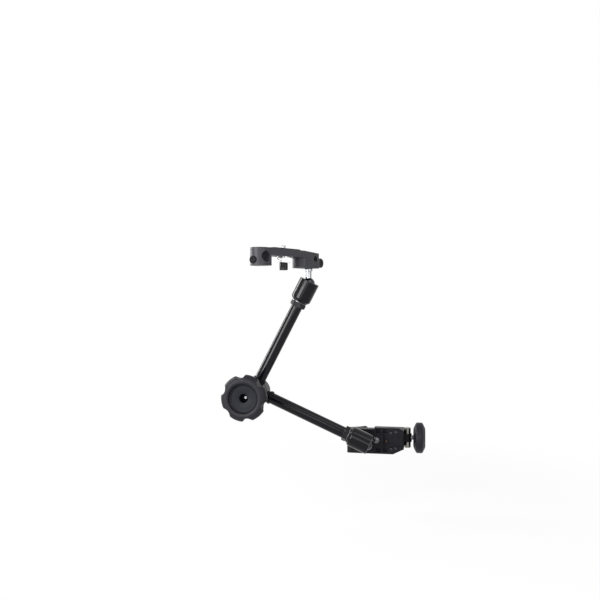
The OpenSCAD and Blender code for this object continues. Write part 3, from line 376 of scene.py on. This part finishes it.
def housingMesh(name, form, slotSide, slotTurn):
    radius, mouth, reach, chamfer = form["radius"], form["mouth"], armPlan["reach"], form["chamfer"]
    half = form["slotWidth"] / 2
    edgeAngle = math.asin(half / radius)

    def innerRadius(x):
        return form["ballRadius"] if x <= reach else math.sqrt(form["ballRadius"] ** 2 - (x - reach) ** 2)

    mouthInner = innerRadius(mouth)
    innerAngle = math.asin(half / mouthInner)
    loop = []  # each entry holds outer inset, chamfer edge, inner edge and the angle on the plain rings
    mouthSteps, wallSteps, floorSteps = form["mouthSteps"], form["wallSteps"], form["floorSteps"]
    slotCount = wallSteps * 2 + floorSteps

    def cylinderPoint(x, angle, r):
        return (x, r * math.cos(angle), r * math.sin(angle))

    for k in range(mouthSteps + 1):
        t = k / mouthSteps
        outer = edgeAngle + t * (2 * math.pi - 2 * edgeAngle)
        inner = innerAngle + t * (2 * math.pi - 2 * innerAngle)
        shift = chamfer / radius * (1 if k == 0 else -1 if k == mouthSteps else 0)
        loop.append(((mouth - chamfer, outer + shift), (mouth, outer, radius - chamfer), (mouth, inner, mouthInner),
            outer))
    for k in range(1, slotCount):
        ringAngle = 2 * math.pi - edgeAngle + k / slotCount * 2 * edgeAngle
        if k <= wallSteps:
            x, z, grown = mouth + (reach - mouth) * k / wallSteps, -half, (mouth + (reach - mouth) * k / wallSteps,
                -half - chamfer)
        elif k >= wallSteps + floorSteps:
            t = (k - wallSteps - floorSteps) / wallSteps
            x, z = reach + (mouth - reach) * t, half
            grown = (x, half + chamfer)
        else:
            a = math.pi * (k - wallSteps) / floorSteps
            x, z = reach - half * math.sin(a), -half * math.cos(a)
            grown = (reach - (half + chamfer) * math.sin(a), -(half + chamfer) * math.cos(a))
        outer = 2 * math.pi + math.asin(grown[1] / radius)
        depth = math.sqrt(radius ** 2 - z ** 2) - chamfer
        inner = innerRadius(x)
        loop.append(((grown[0], outer), (x, 2 * math.pi + math.atan2(z, depth), math.hypot(z, depth)),
            (x, 2 * math.pi + math.asin(z / inner), inner), ringAngle))
    soft = form["shoulderRound"]
    arc = []  # the rounded shoulder, down to the flange
    for step in range(form["arcSteps"] + 1):
        a = step / form["arcSteps"] * math.acos((form["flangeRadius"] - radius + soft) / soft)
        arc.append((radius - soft * (1 - math.cos(a)), form["shoulder"] - soft * math.sin(a)))
    outline = arc + [(form["flangeRadius"], form["flangeStart"] + 0.25),
        (form["flangeRadius"] - 0.25, form["flangeStart"]), (form["boreRadius"], form["flangeStart"]),
        (form["boreRadius"], form["tubeEnd"]), (form["webRadius"], form["tubeEnd"]),
        (form["webRadius"], form["cupStart"]), (form["ballRadius"], form["cupStart"])]
    plain = form["plainTo"]
    rows = []
    for step in range(form["roomRows"]):  # the ball's room, from its plain bore up to the mouth
        t = step / form["roomRows"]
        rows.append([cylinderPoint(plain + (p[2][0] - plain) * t, p[3] + (p[2][1] - p[3]) * t,
            innerRadius(plain + (p[2][0] - plain) * t)) for p in loop])
    rows.append([cylinderPoint(*p[2]) for p in loop])
    rows.append([cylinderPoint(*p[1]) for p in loop])
    chamferRow = len(rows) - 1
    for step in range(form["outerRows"]):
        t = step / form["outerRows"]
        rows.append([cylinderPoint(p[0][0] + (form["shoulder"] - p[0][0]) * t, p[0][1] + (p[3] - p[0][1]) * t,
            radius) for p in loop])
    for r, x in outline:
        rows.append([cylinderPoint(x, p[3], r) for p in loop])
    mesh = gridMesh(name, rows, {chamferRow: 1}, closed=True)
    turn = Matrix.Rotation((0 if slotSide > 0 else math.pi) + math.radians(slotTurn), 4, "X")
    mesh.transform(turn)
    return mesh


for name, body, place, side, turn in (("lowerHousing", "lower_arm", lowerPlace, 1, 0),
        ("upperHousing", "upper_arm", upperPlace, -1, armPlan["slotTurn"])):
    addPiece(name, housingMesh(name, housingForm, side, turn), body, [body.replace("arm", "housing")],
        ["tubeBlack", "bareEdge"], place)
print("housings made")

tubeForm = {"radius": 9.0, "bore": 7.0, "start": 15.0, "end": 177.0, "inEdge": 0.2, "outEdge": 0.5}
ringForm = {"radius": 11.7, "bore": 9.05, "start": 163.6, "end": 165.15, "inEdge": 0.1, "outEdge": 0.35}


def tubeProfile(form, first, last):
    # a closed wall with rounded ends; first and last are where its bore is cut open to start the profile
    bore, radius, start, end = form["bore"], form["radius"], form["start"], form["end"]
    return roundedProfile([(bore, first), (bore, start, form["inEdge"]), (radius, start, form["outEdge"]),
        (radius, end, form["outEdge"]), (bore, end, form["inEdge"]), (bore, last)])


for key, place in (("lower", lowerPlace), ("upper", upperPlace)):
    profile = tubeProfile(tubeForm, tubeForm["start"] + 1, tubeForm["end"] - 1)
    addPiece(key + "Tube", turnedMesh(key + "Tube", profile, 128, True), key + "_arm", [key + "_tube"],
        ["tubeBlack"], place @ alongX)
    profile = tubeProfile(ringForm, ringForm["end"] - 0.5, ringForm["end"] - 0.4)
    addPiece(key + "Ring", turnedMesh(key + "Ring", profile, 128, True), key + "_arm", [key + "_ring"],
        ["ringChrome"], place @ alongX)

studForm = {
    "ball": 10.0, "stem": 4.7, "steps": 20, "shadedTo": 8.8,
    "lower": ((4.7, 10), (4.7, 17.0, 0.3), (7.0, 17.0, 0.4), (7.0, 19.9, 0.3), (8.0, 19.9, 0.8), (8.0, 28.5, 0.6),
        (6.8, 28.5, 0.6), (6.8, 34.5, 0.6), (8.0, 34.5, 0.6), (8.0, 45.9, 0.8), (0, 45.9)),
    "upper": ((4.7, 10), (4.7, 19.8, 0.3), (6.25, 19.8, 0.4), (6.25, 23.8, 0.4), (6.0, 23.85, 0.1), (6.0, 42.0, 0.6),
        (0, 42.0)),
}


def ballStart(form):
    # the ball's profile from its far pole to where the stem leaves it
    last = math.pi - math.asin(form["stem"] / form["ball"])
    return [(form["ball"] * math.sin(k / form["steps"] * last),
        -form["ball"] * math.cos(k / form["steps"] * last)) for k in range(form["steps"] + 1)]


def studMesh(name, form, stem):
    # the ball takes a far darker steel than the stem: painted shade where it sits in the housing's mouth
    mesh = turnedMesh(name, ballStart(form) + roundedProfile(stem), 96)
    for face in mesh.polygons:
        face.material_index = 1 if face.center.z < form["shadedTo"] else 0
    return mesh


for key, place in (("lower", Matrix.Translation((0, armPlan["ballY"], 0)) @ alongY),
        ("upper", Matrix.Translation(topBall))):
    mesh = studMesh(key + "Stud", studForm, studForm[key])
    addPiece(key + "Stud", mesh, key + "_stud", [key + "_stud"], ["studSteel", "shadedSteel"], place)
print("tubes and studs made")

plungerForm = {"place": (13.65, -45.3, 2.0), "radius": 5.2, "rise": 7.8, "dome": 1.3, "stem": 3.2, "length": 20.8}


def plungerProfile(form):
    # a domed button with a fine groove round its face, on a plain stem
    radius, dome = form["radius"], form["dome"]
    face = [(radius * 0.74 * math.sin(k / 8 * math.pi / 2),
        dome * 0.62 * (1 - math.cos(k / 8 * math.pi / 2))) for k in range(9)]
    return face + roundedProfile([face[-1], (radius * 0.76, dome * 1.05, 0.1), (radius * 0.84, dome * 0.8, 0.2),
        (radius, dome + 0.5, 0.5), (radius, form["rise"], 0.2), (form["stem"], form["rise"], 0.2),
        (form["stem"], form["length"], 0.4), (0, form["length"])])[1:]


addPiece("lockPlunger", turnedMesh("lockPlunger", plungerProfile(plungerForm), 72), "plunger", ["lock_plunger"],
    ["darkChrome"], Matrix.Translation(plungerForm["place"]) @ alongY)

knobForm = {
    "radius": 35.7, "neckRadius": 15.5, "start": 32.1, "rim": 55.1, "front": 79.1, "crest": 26.5, "dish": 20.0,
    "dishDepth": 6.5,
    "hole": 6.75, "holeFloor": 56.7, "scallops": 6, "scallopRadius": 9.0, "scallopDepth": 5.6, "scallopTurn": 39.6,
    "softness": 1.3, "backTaper": 3.4,
    "bore": 10.0, "neckEnd": 9.0, "cornerWide": 3.0, "cornerHigh": 2.6, "cornerTop": 3.4, "crestWide": 9.8,
    "crestHigh": 12.0, "screwSeat": 5.3,
}


def knobMesh(name, form, columns=360):
    front, rim, radius, crest = form["front"], form["rim"], form["radius"], form["crest"]
    back, neck, start = radius - form["backTaper"], form["neckRadius"], form["start"]
    wide, high, top = form["cornerWide"], form["cornerHigh"], form["cornerTop"]
    profile = [(form["bore"], start)]
    profile += roundedProfile([(form["bore"], start), (neck, start, 0.6), (neck, rim - form["neckEnd"], 1.5),
        (back - 4, rim, 1.5)])[1:]
    for k in range(6):  # the back corner of the rim
        a = math.pi / 2 * k / 5
        profile.append((back - wide + wide * math.sin(a), rim + top - high * math.cos(a)))
    for k in range(1, 5):  # the rim widens towards its front
        profile.append((back + form["backTaper"] * math.sin(math.pi / 2 * k / 4),
            rim + top + (front - form["crestHigh"] - rim - top) * k / 4))
    for k in range(1, 33):  # over the rounded crest to the dish's lip
        a = math.pi * 0.62 * k / 32
        profile.append((min(radius, crest + form["crestWide"] * math.cos(a)),
            front - form["crestHigh"] + form["crestHigh"] * math.sin(a)))
    lip, dish, hole, floorZ = profile[-1], form["dish"], form["hole"], front - form["dishDepth"]
    profile += roundedProfile([lip, (dish + 2.6, floorZ + 3.0, 1.6), (dish, floorZ, 3.6), (hole + 0.8, floorZ)],
        8)[1:]
    dishRow = len(profile) - 7
    profile += [(hole + 0.2, floorZ - 0.15), (hole, floorZ - 0.7), (hole, form["holeFloor"]),
        (form["screwSeat"], form["holeFloor"])]
    distance = radius + form["scallopRadius"] - form["scallopDepth"]
    softness = form["softness"]
    rows = []
    for r, z in profile:
        ring = []
        for k in range(columns):
            angle = 2 * math.pi * k / columns
            step = 2 * math.pi / form["scallops"]
            off = (angle - math.radians(form["scallopTurn"]) + step / 2) % step - step / 2
            cut = radius + 20
            side = form["scallopRadius"] ** 2 - (distance * math.sin(off)) ** 2
            if side > 0:
                cut = distance * math.cos(off) - math.sqrt(side)
            else:  # beyond the scallop the cutter's flank carries on outwards
                cut = distance * math.cos(off) + math.sqrt(-side) * 0.9
            h = max(0.0, 1 - abs(r - cut) / softness)
            low = min(r, cut) - h * h * softness * 0.25
            ring.append((low * math.cos(angle), low * math.sin(angle), z))
        rows.append(ring)
    strips = {number: 1 for number in range(dishRow, len(profile) - 1)}
    return gridMesh(name, rows, strips)


addPiece("elbowKnob", knobMesh("elbowKnob", knobForm), "elbow_knob", ["elbow_knob"],
    ["knobGrey", "dishGrey"], elbowPlace, sharp=40)
print("elbow knob made")

discForm = {"radius": 25.0, "flat": 15.5, "side": 4.3, "width": 19.6, "place": 72.2, "bore": 4.05}


def discProfile(form):
    # one half up to the rim's middle, then the same mirrored
    radius, flat, side, width, bore = form["radius"], form["flat"], form["side"], form["width"], form["bore"]
    half = [(flat - 1, 0.0, 1.5), (flat + 0.6, 0.4, 1.5), (radius - 1, side, 1.6), (radius, side + 1.6, 1.4)]
    return roundedProfile([(bore, 1.0), (bore, 0.0, 0.3)] + half + [(r, width - z,
        e) for r, z, e in reversed(half)] + [(0, width)], 5)


addPiece("clampKnob", turnedMesh("clampKnob", discProfile(discForm), 128), "spindle", ["clamp_knob"],
    ["knobBlack"], Matrix.Translation((discForm["place"], 0, 0)) @ alongX)


def newGeometryTree(name, takes):
    tree = bpy.data.node_groups.new(name, "GeometryNodeTree")
    tree.is_modifier = True
    ids = {}
    for label, kind, value in takes:
        socket = tree.interface.new_socket(name=label, in_out="INPUT", socket_type=kind)
        if value is not None:
            socket.default_value = value
        ids[label] = socket.identifier
    tree.interface.new_socket(name="Geometry", in_out="OUTPUT", socket_type="NodeSocketGeometry")
    return tree, tree.nodes.new("NodeGroupInput"), tree.nodes.new("NodeGroupOutput"), ids


def closeTree(tree, takes, gives, geometry):
    # every tree ends with plain, painted faces
    real = addNode(tree, "GeometryNodeRealizeInstances", {"Geometry": geometry})
    painted = addNode(tree, "GeometryNodeSetMaterial", {"Geometry": real.outputs["Geometry"],
        "Material": takes.outputs["Material"]})
    tree.links.new(painted.outputs["Geometry"], gives.inputs["Geometry"])


def grownMesh(name, tree, ids, settings):
    # runs the tree on an empty mesh and keeps the plain result
    holder = bpy.data.objects.new(name + "Maker", bpy.data.meshes.new(name + "Maker"))
    bpy.context.scene.collection.objects.link(holder)
    modifier = holder.modifiers.new("grow", "NODES")
    modifier.node_group = tree
    for label, value in settings.items():
        modifier[ids[label]] = value
    bpy.context.view_layer.update()
    grown = bpy.data.meshes.new_from_object(holder.evaluated_get(bpy.context.evaluated_depsgraph_get()))
    holder.modifiers.clear()
    bpy.data.objects.remove(holder)
    grown.name = name
    grown.materials.clear()
    return grown


def threadTree():
    # a grid rolled into a rod, its radius following a screw thread; ends fade to the root
    tree, takes, gives, ids = newGeometryTree("screwThread", [
        ("Radius", "NodeSocketFloat", 4.0), ("Depth", "NodeSocketFloat", 0.6), ("Pitch", "NodeSocketFloat", 3.0),
        ("Length", "NodeSocketFloat", 40.0),
        ("Columns", "NodeSocketInt", 49), ("Rows", "NodeSocketInt", 200), ("Material", "NodeSocketMaterial", None)])
    grid = addNode(tree, "GeometryNodeMeshGrid", {"Vertices X": takes.outputs["Columns"],
        "Vertices Y": takes.outputs["Rows"]}, values={"Size X": 1.0, "Size Y": 1.0})
    place = tree.nodes.new("GeometryNodeInputPosition")
    parts = addNode(tree, "ShaderNodeSeparateXYZ", {"Vector": place.outputs[0]})
    around = math2(tree, "ADD", parts.outputs["X"], 0.5)
    along = math2(tree, "ADD", parts.outputs["Y"], 0.5)
    height = math2(tree, "MULTIPLY", along, takes.outputs["Length"])
    turns = math2(tree, "SUBTRACT", math2(tree, "DIVIDE", height, takes.outputs["Pitch"]), around)
    wave = math2(tree, "MULTIPLY", math2(tree, "ABSOLUTE", math2(tree, "SUBTRACT", math2(tree, "FRACT", turns), 0.5)),
        2.0)
    flank = addNode(tree, "ShaderNodeMapRange", {"Value": wave}, values={"From Min": 0.2, "From Max": 0.8})
    ends = math2(tree, "MULTIPLY", math2(tree, "MULTIPLY", along, math2(tree, "SUBTRACT", 1.0, along)), 60.0, True)
    drop = math2(tree, "MULTIPLY", takes.outputs["Depth"], math2(tree, "SUBTRACT", 1.0,
        math2(tree, "MULTIPLY", flank.outputs["Result"], ends)))
    radius = math2(tree, "SUBTRACT", takes.outputs["Radius"], drop)
    angle = math2(tree, "MULTIPLY", around, 2 * math.pi)
    spot = addNode(tree, "ShaderNodeCombineXYZ", {"X": math2(tree, "MULTIPLY", radius, math2(tree, "COSINE", angle)),
        "Y": math2(tree, "MULTIPLY", radius, math2(tree, "SINE", angle)), "Z": height})
    rolled = addNode(tree, "GeometryNodeSetPosition", {"Geometry": grid.outputs["Mesh"],
        "Position": spot.outputs["Vector"]})
    joined = addNode(tree, "GeometryNodeMergeByDistance", {"Geometry": rolled.outputs["Geometry"]},
        values={"Distance": 0.001})
    closeTree(tree, takes, gives, joined.outputs["Geometry"])
    return tree, ids


def capped(mesh, extraProfiles):
    # closes the open ends of a thread and adds plain turned lengths to the same mesh
    bm = bmesh.new()
    bm.from_mesh(mesh)
    loops = [e for e in bm.edges if e.is_boundary]
    bmesh.ops.holes_fill(bm, edges=loops, sides=0)
    for profile in extraProfiles:
        extra = turnedMesh("length", profile, 64)
        bm.from_mesh(extra)
        bpy.data.meshes.remove(extra)
    bmesh.ops.recalc_face_normals(bm, faces=bm.faces)
    bm.to_mesh(mesh)
    bm.free()
    return mesh


bracketLine = {"left": -107.7, "right": -32.7, "middle": 1.0, "shift": 6.0, "barUnder": 15.5}
cameraX = (bracketLine["left"] + bracketLine["right"]) / 2 + bracketLine["middle"] + bracketLine["shift"]
# each screw: its thread, where that starts, the plain lengths at its two ends, and where it sits
threadedPieces = {
    "clampSpindle": {
        "thread": {"Radius": 4.0, "Depth": 0.75, "Pitch": 3.0, "Length": 24.0, "Columns": 65, "Rows": 241},
        "start": 27.4,
        "ends": ([(0, 0), (3.99, 0, 0.8), (3.99, 27.6, 0.3), (0, 27.6)],
            [(0, 51.2), (3.99, 51.2, 0.3), (3.99, 60.8, 0.6), (0, 60.8)]),
        "body": "spindle", "node": "clamp_spindle", "slot": "inner_steel", "finish": "innerSteel",
        "place": Matrix.Translation((21.4, 0, 0)) @ alongX,
    },
    "wingScrew": {
        "thread": {"Radius": 3.0, "Depth": 0.42, "Pitch": 1.0, "Length": 11.0, "Columns": 49, "Rows": 265},
        "start": 0.4,
        "ends": ([(0, 0), (2.5, 0, 0.4), (2.5, 0.5, 0.1), (0, 0.5)],
            [(0, 11.3), (2.98, 11.3, 0.3), (2.98, 13.3, 0.5), (0, 13.3)]),
        "body": "wing_screw", "node": "wing_screw", "slot": "bright_steel", "finish": "steel",
        "place": bracketPlace @ Matrix.Translation((6.5, 0, 9.6)) @ alongX,
    },
    "cameraScrew": {
        "thread": {"Radius": 3.17, "Depth": 0.5, "Pitch": 1.27, "Length": 4.9, "Columns": 49, "Rows": 81},
        "start": 27.5,
        "ends": ([(0, -2.4), (2.97, -2.4, 0.6), (2.97, 27.6, 0.2), (0, 27.6)],
            [(0, 32.2), (2.75, 32.2, 0.1), (2.55, 32.6, 0.1), (0, 32.6)]),
        "body": "camera_screw", "node": "camera_screw", "slot": "bright_steel", "finish": "steel",
        "place": bracketPlace @ Matrix.Translation((cameraX, 0, 0)),
    },
}
screwThread, threadIds = threadTree()
for name, plan in threadedPieces.items():
    mesh = grownMesh(name, screwThread, threadIds, {**plan["thread"], "Material": finishes["steel"]})
    mesh.transform(Matrix.Translation((0, 0, plan["start"])))
    capped(mesh, [roundedProfile(end) for end in plan["ends"]])
    addPiece(name, mesh, plan["body"], [plan["node"]], [plan["finish"]], plan["place"])


def knurlTree():
    # a disc with straight knurls round its edge
    tree, takes, gives, ids = newGeometryTree("knurledDisc", [
        ("Radius", "NodeSocketFloat", 11.0), ("Height", "NodeSocketFloat", 7.6), ("Knurls", "NodeSocketInt", 72),
        ("Knurl Radius", "NodeSocketFloat", 0.34),
        ("Material", "NodeSocketMaterial", None)])
    ring = addNode(tree, "GeometryNodeMeshCircle", {"Vertices": takes.outputs["Knurls"],
        "Radius": math2(tree, "SUBTRACT", takes.outputs["Radius"], takes.outputs["Knurl Radius"])})
    ridge = addNode(tree, "GeometryNodeMeshCylinder", {"Radius": takes.outputs["Knurl Radius"],
        "Depth": math2(tree, "SUBTRACT", takes.outputs["Height"], 1.0)}, values={"Vertices": 10})
    core = addNode(tree, "GeometryNodeMeshCylinder", {"Radius": math2(tree, "SUBTRACT", takes.outputs["Radius"],
        math2(tree, "MULTIPLY", takes.outputs["Knurl Radius"], 0.9)),
            "Depth": math2(tree, "SUBTRACT", takes.outputs["Height"], 0.9)}, values={"Vertices": 128})
    knurls = addNode(tree, "GeometryNodeInstanceOnPoints", {"Points": ring.outputs["Mesh"],
        "Instance": ridge.outputs["Mesh"]})
    both = tree.nodes.new("GeometryNodeJoinGeometry")
    tree.links.new(core.outputs["Mesh"], both.inputs["Geometry"])
    tree.links.new(knurls.outputs["Instances"], both.inputs["Geometry"])
    closeTree(tree, takes, gives, both.outputs["Geometry"])
    return tree, ids


knurledDisc, knurlIds = knurlTree()
knurlForm = {"Radius": 11.0, "Height": 7.6, "Knurls": 72, "Knurl Radius": 0.34}
knurlMesh = grownMesh("cameraRing", knurledDisc, knurlIds, {**knurlForm, "Material": finishes["chrome"]})
facePlan = {"bore": 3.3, "inside": 3.3, "face": 3.8, "flat": 9.9, "edge": 10.3, "washer": 1.4, "gap": 0.15}
upperFace = [(facePlan["bore"], facePlan["inside"]), (facePlan["bore"], facePlan["face"], 0.1),
    (facePlan["flat"], facePlan["face"], 0.5), (facePlan["edge"], facePlan["inside"])]
lowerFace = [(point[0], -point[1], *point[2:]) for point in reversed(upperFace)]
capped(knurlMesh, [roundedProfile(upperFace), roundedProfile(lowerFace)])
ringTop = bracketLine["barUnder"] - facePlan["washer"] - facePlan["gap"]
ringPlace = bracketPlace @ Matrix.Translation((cameraX, 0, ringTop - facePlan["face"]))
addPiece("cameraRing", knurlMesh, "camera_ring", ["camera_ring"], ["chrome"], ringPlace)


def screwSetTree():
    # one screw head on each of the points handed in
    tree, takes, gives, ids = newGeometryTree("screwSet", [("Places", "NodeSocketObject", None),
        ("Head", "NodeSocketObject", None), ("Material", "NodeSocketMaterial", None)])
    places = addNode(tree, "GeometryNodeObjectInfo", {"Object": takes.outputs["Places"]})
    head = addNode(tree, "GeometryNodeObjectInfo", {"Object": takes.outputs["Head"]}, values={"As Instance": True})
    heads = addNode(tree, "GeometryNodeInstanceOnPoints", {"Points": places.outputs["Geometry"],
        "Instance": head.outputs["Geometry"]})
    spin = addNode(tree, "FunctionNodeRandomValue", data_type="FLOAT_VECTOR", values={"Seed": 4})
    spin.inputs[0].default_value = (0, 0, 0)
    spin.inputs[1].default_value = (0, 1.0, 0)
    turned = addNode(tree, "GeometryNodeRotateInstances", {"Instances": heads.outputs["Instances"],
        "Rotation": spin.outputs[0]})
    closeTree(tree, takes, gives, turned.outputs["Instances"])
    return tree, ids


def socketHead(name, radius, height, hexRadius, hexDepth, shankRadius, shankLength):
    # a button head with a hexagon socket, its face towards -Z
    count = 60

    def ring(r, z):
        return [(r * math.cos(2 * math.pi * k / count), r * math.sin(2 * math.pi * k / count),
            z) for k in range(count)]

    def hexRing(r, z):
        row = []
        for k in range(count):
            a = 2 * math.pi * k / count
            w = r / math.cos((a + math.pi / 6) % (math.pi / 3) - math.pi / 6)
            row.append((w * math.cos(a), w * math.sin(a), z))
        return row

    rows = [ring(0.05, hexDepth * 1.15), hexRing(hexRadius * 0.98, hexDepth), hexRing(hexRadius, 0.25),
        ring(hexRadius * 1.22, 0.0)]
    for k in range(7):
        a = math.pi / 2 * k / 6
        rows.append(ring(radius - (radius * 0.4) * (1 - math.sin(a)), height * 0.75 * (1 - math.cos(a))))
    rows += [ring(radius, height * 0.92), ring(radius - 0.15, height), ring(shankRadius, height),
        ring(shankRadius, height + shankLength)]
    return gridMesh(name, rows, capFirst=True, capLast=True)


screwForm = {"places": ((37, 12.6), (45, 14), (37.5, -13.6), (44.5, -12.2)), "face": -36.4}
headForm = {"radius": 2.6, "height": 1.55, "hexRadius": 1.25, "hexDepth": 1.1, "shankRadius": 1.5, "shankLength": 6.8}
headMesh = socketHead("screwHead", **headForm)
headMesh.transform(alongY)
headHolder = bpy.data.objects.new("screwHead", headMesh)
placesMesh = bpy.data.meshes.new("screwPlaces")
placesMesh.from_pydata([(x, screwForm["face"], z) for x, z in screwForm["places"]], [], [])
placesHolder = bpy.data.objects.new("screwPlaces", placesMesh)
for holder in (headHolder, placesHolder):
    bpy.context.scene.collection.objects.link(holder)
screwSet, screwIds = screwSetTree()
# the screw heads take the same darkened steel that paints the ball's shade
clampScrews = grownMesh("clampScrews", screwSet, screwIds, {"Places": placesHolder, "Head": headHolder,
    "Material": finishes["shadedSteel"]})
for holder in (headHolder, placesHolder):
    bpy.data.objects.remove(holder)
addPiece("clampScrews", clampScrews, "clamp", ["clamp_screws"], ["shadedSteel"])


def coilTree():
    # a round wire wound about +Z
    tree, takes, gives, ids = newGeometryTree("coil", [
        ("Radius", "NodeSocketFloat", 4.4), ("Wire", "NodeSocketFloat", 0.45), ("Turns", "NodeSocketFloat", 3.0),
        ("Length", "NodeSocketFloat", 2.3),
        ("Material", "NodeSocketMaterial", None)])
    path = addNode(tree, "GeometryNodeCurveSpiral", {"Rotations": takes.outputs["Turns"],
        "Start Radius": takes.outputs["Radius"], "End Radius": takes.outputs["Radius"],
        "Height": takes.outputs["Length"]}, values={"Resolution": 48})
    wire = addNode(tree, "GeometryNodeCurvePrimitiveCircle", {"Radius": takes.outputs["Wire"]},
        values={"Resolution": 14})
    swept = addNode(tree, "GeometryNodeCurveToMesh", {"Curve": path.outputs["Curve"],
        "Profile Curve": wire.outputs["Curve"]}, values={"Fill Caps": True})
    closeTree(tree, takes, gives, swept.outputs["Mesh"])
    return tree, ids


springForm = {"Radius": 4.4, "Wire": 0.45, "Turns": 3.0, "Length": 2.3}
springPlace = {"start": (13.65, -36.7, 2.0), "seat": (0.01365, -0.03385, 0.002), "pressed": 0.19}
coil, coilIds = coilTree()
springMesh = grownMesh("plungerSpring", coil, coilIds, {**springForm, "Material": finishes["innerSteel"]})
spring = addPiece("plungerSpring", springMesh, "clamp", ["plunger_spring"], ["innerSteel"],
    Matrix.Translation(springPlace["start"]) @ alongY)
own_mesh(spring)
print("threads, knurls and screws made")

solidFinish = {
    "clamp_body": "clampCast", "clamp_jaw": "clampCast", "bracket": "bracketCast", "hook_pad": "rubber",
    "jaw_pad": "rubber", "bracket_pad": "rubber",
    "lower_hub": "hubBlack", "upper_hub": "hubBlack", "hub_cap": "hubBlack", "lower_nut": "nutBlack",
    "upper_nut": "nutBlack", "side_screw": "nutBlack",
    "end_screw": "nutBlack", "barrel_nut": "nickel", "camera_washer": "steel", "knob_screw": "studSteel",
    "knob_insert": "innerSteel", "hub_bolt": "innerSteel", "bolt_nut": "innerSteel", "thrust_washer": "innerSteel",
    "disc_springs": "innerSteel",
    "lower_rod": "innerSteel", "upper_rod": "innerSteel", "plunger_bush": "innerSteel",
    "lower_cup": "brass", "upper_cup": "brass", "lower_cone": "brass", "upper_cone": "brass", "rib_tip": "tipBrass",
    "friction_washer": "fibre", "wing_head": "wingBlack", "camera_wing": "wingBlack",
}
for nodeName, finishName in solidFinish.items():
    for slot in nodes[nodeName].material_slots:
        slot.material = finishes[finishName]
print("solids finished")

stageForm = {
    "floor": -0.12, "size": 30.0, "shadeFrom": 0.2, "shadeTo": 0.7, "whitest": 0.86,
    "paper": (0.86, 0.86, 0.86, 1), "paperRough": 0.9, "paperShine": 0.1, "ambient": 0.3,
}


def seenDirectly(tree):
    # 1 for the rays that should meet plain white: from the camera, mirrored or through glass
    path = addNode(tree, "ShaderNodeLightPath")
    return math2(tree, "ADD", math2(tree, "ADD", path.outputs["Is Camera Ray"], path.outputs["Is Glossy Ray"]),
        path.outputs["Is Transmission Ray"], True)


floorMesh = bpy.data.meshes.new("floor")
corners = [(x * stageForm["size"], y * stageForm["size"], stageForm["floor"]) for x, y in ((-1, -1), (1, -1), (1, 1),
    (-1, 1))]
floorMesh.from_pydata(corners, [], [(0, 1, 2, 3)])
floor = bpy.data.objects.new("floor", floorMesh)
bpy.context.scene.collection.objects.link(floor)
paper = bpy.data.materials.new("paper")
paper.use_nodes = True
tree = paper.node_tree
sheet = tree.nodes["Principled BSDF"]
sheet.inputs["Base Color"].default_value = stageForm["paper"]
sheet.inputs["Roughness"].default_value = stageForm["paperRough"]
sheet.inputs["Specular IOR Level"].default_value = stageForm["paperShine"]
white = addNode(tree, "ShaderNodeEmission", values={"Color": (1, 1, 1, 1), "Strength": 1.0})
coords = addNode(tree, "ShaderNodeTexCoord")
distance = addNode(tree, "ShaderNodeVectorMath", {0: coords.outputs["Object"]}, operation="LENGTH")
far = addNode(tree, "ShaderNodeMapRange", {"Value": distance.outputs["Value"]}, interpolation_type="SMOOTHSTEP",
    values={"From Min": stageForm["shadeFrom"], "From Max": stageForm["shadeTo"], "To Min": stageForm["whitest"]})
blend = addNode(tree, "ShaderNodeMixShader", {0: math2(tree, "MULTIPLY", far.outputs["Result"], seenDirectly(tree)),
    1: sheet.outputs[0], 2: white.outputs[0]})
tree.links.new(blend.outputs[0], tree.nodes["Material Output"].inputs["Surface"])
floorMesh.materials.append(paper)

world = bpy.data.worlds.new("studio")
bpy.context.scene.world = world
world.use_nodes = True
tree = world.node_tree
ambient = tree.nodes["Background"]
ambient.inputs["Color"].default_value = (1, 1, 1, 1)
ambient.inputs["Strength"].default_value = stageForm["ambient"]
backdrop = addNode(tree, "ShaderNodeBackground", values={"Color": (1, 1, 1, 1), "Strength": 1.0})
blend = addNode(tree, "ShaderNodeMixShader", {0: seenDirectly(tree), 1: ambient.outputs[0], 2: backdrop.outputs[0]})
tree.links.new(blend.outputs[0], tree.nodes["World Output"].inputs["Surface"])

softBoxes = {
    "frontBox": {"from": (-0.89, -1.42, 0.37), "size": (0.7, 1.25), "watts": 38.0},
    "rimBox": {"from": (-1.13, 0.27, 0.61), "size": (0.22, 1.1), "watts": 13.0},
    "topBox": {"from": (0.47, -0.73, 1.24), "size": (1.0, 0.4), "watts": 2.6},
    "viewBox": {"from": (-0.02, -1.42, 0.34), "size": (0.5, 0.4), "watts": 2.1},
    "rightBox": {"from": (0.95, -0.95, 0.45), "size": (0.8, 0.8), "watts": 6.5},
}
aim = Vector((-0.09, -0.08, 0.13))
for name, box in softBoxes.items():
    light = bpy.data.lights.new(name, "AREA")
    light.shape = "RECTANGLE"
    light.size, light.size_y = box["size"]
    light.energy = box["watts"]
    lamp = bpy.data.objects.new(name, light)
    lamp.location = box["from"]
    lamp.rotation_euler = (aim - Vector(box["from"])).to_track_quat("-Z", "Y").to_euler()
    bpy.context.scene.collection.objects.link(lamp)

viewPoint = {"place": (0.0871, -1.1603, 0.2287), "turn": 10.08, "lens": 41.33}
cameraData = bpy.data.cameras.new("camera")
cameraData.lens = viewPoint["lens"]
cameraData.sensor_width = 36.0
cameraData.clip_start = 0.05
camera = bpy.data.objects.new("camera", cameraData)
camera.location = viewPoint["place"]
camera.rotation_euler = (math.pi / 2, 0, math.radians(viewPoint["turn"]))
bpy.context.scene.collection.objects.link(camera)
bpy.context.scene.camera = camera
bpy.context.scene.view_settings.view_transform = "Standard"
print("stage, lamps and camera set")
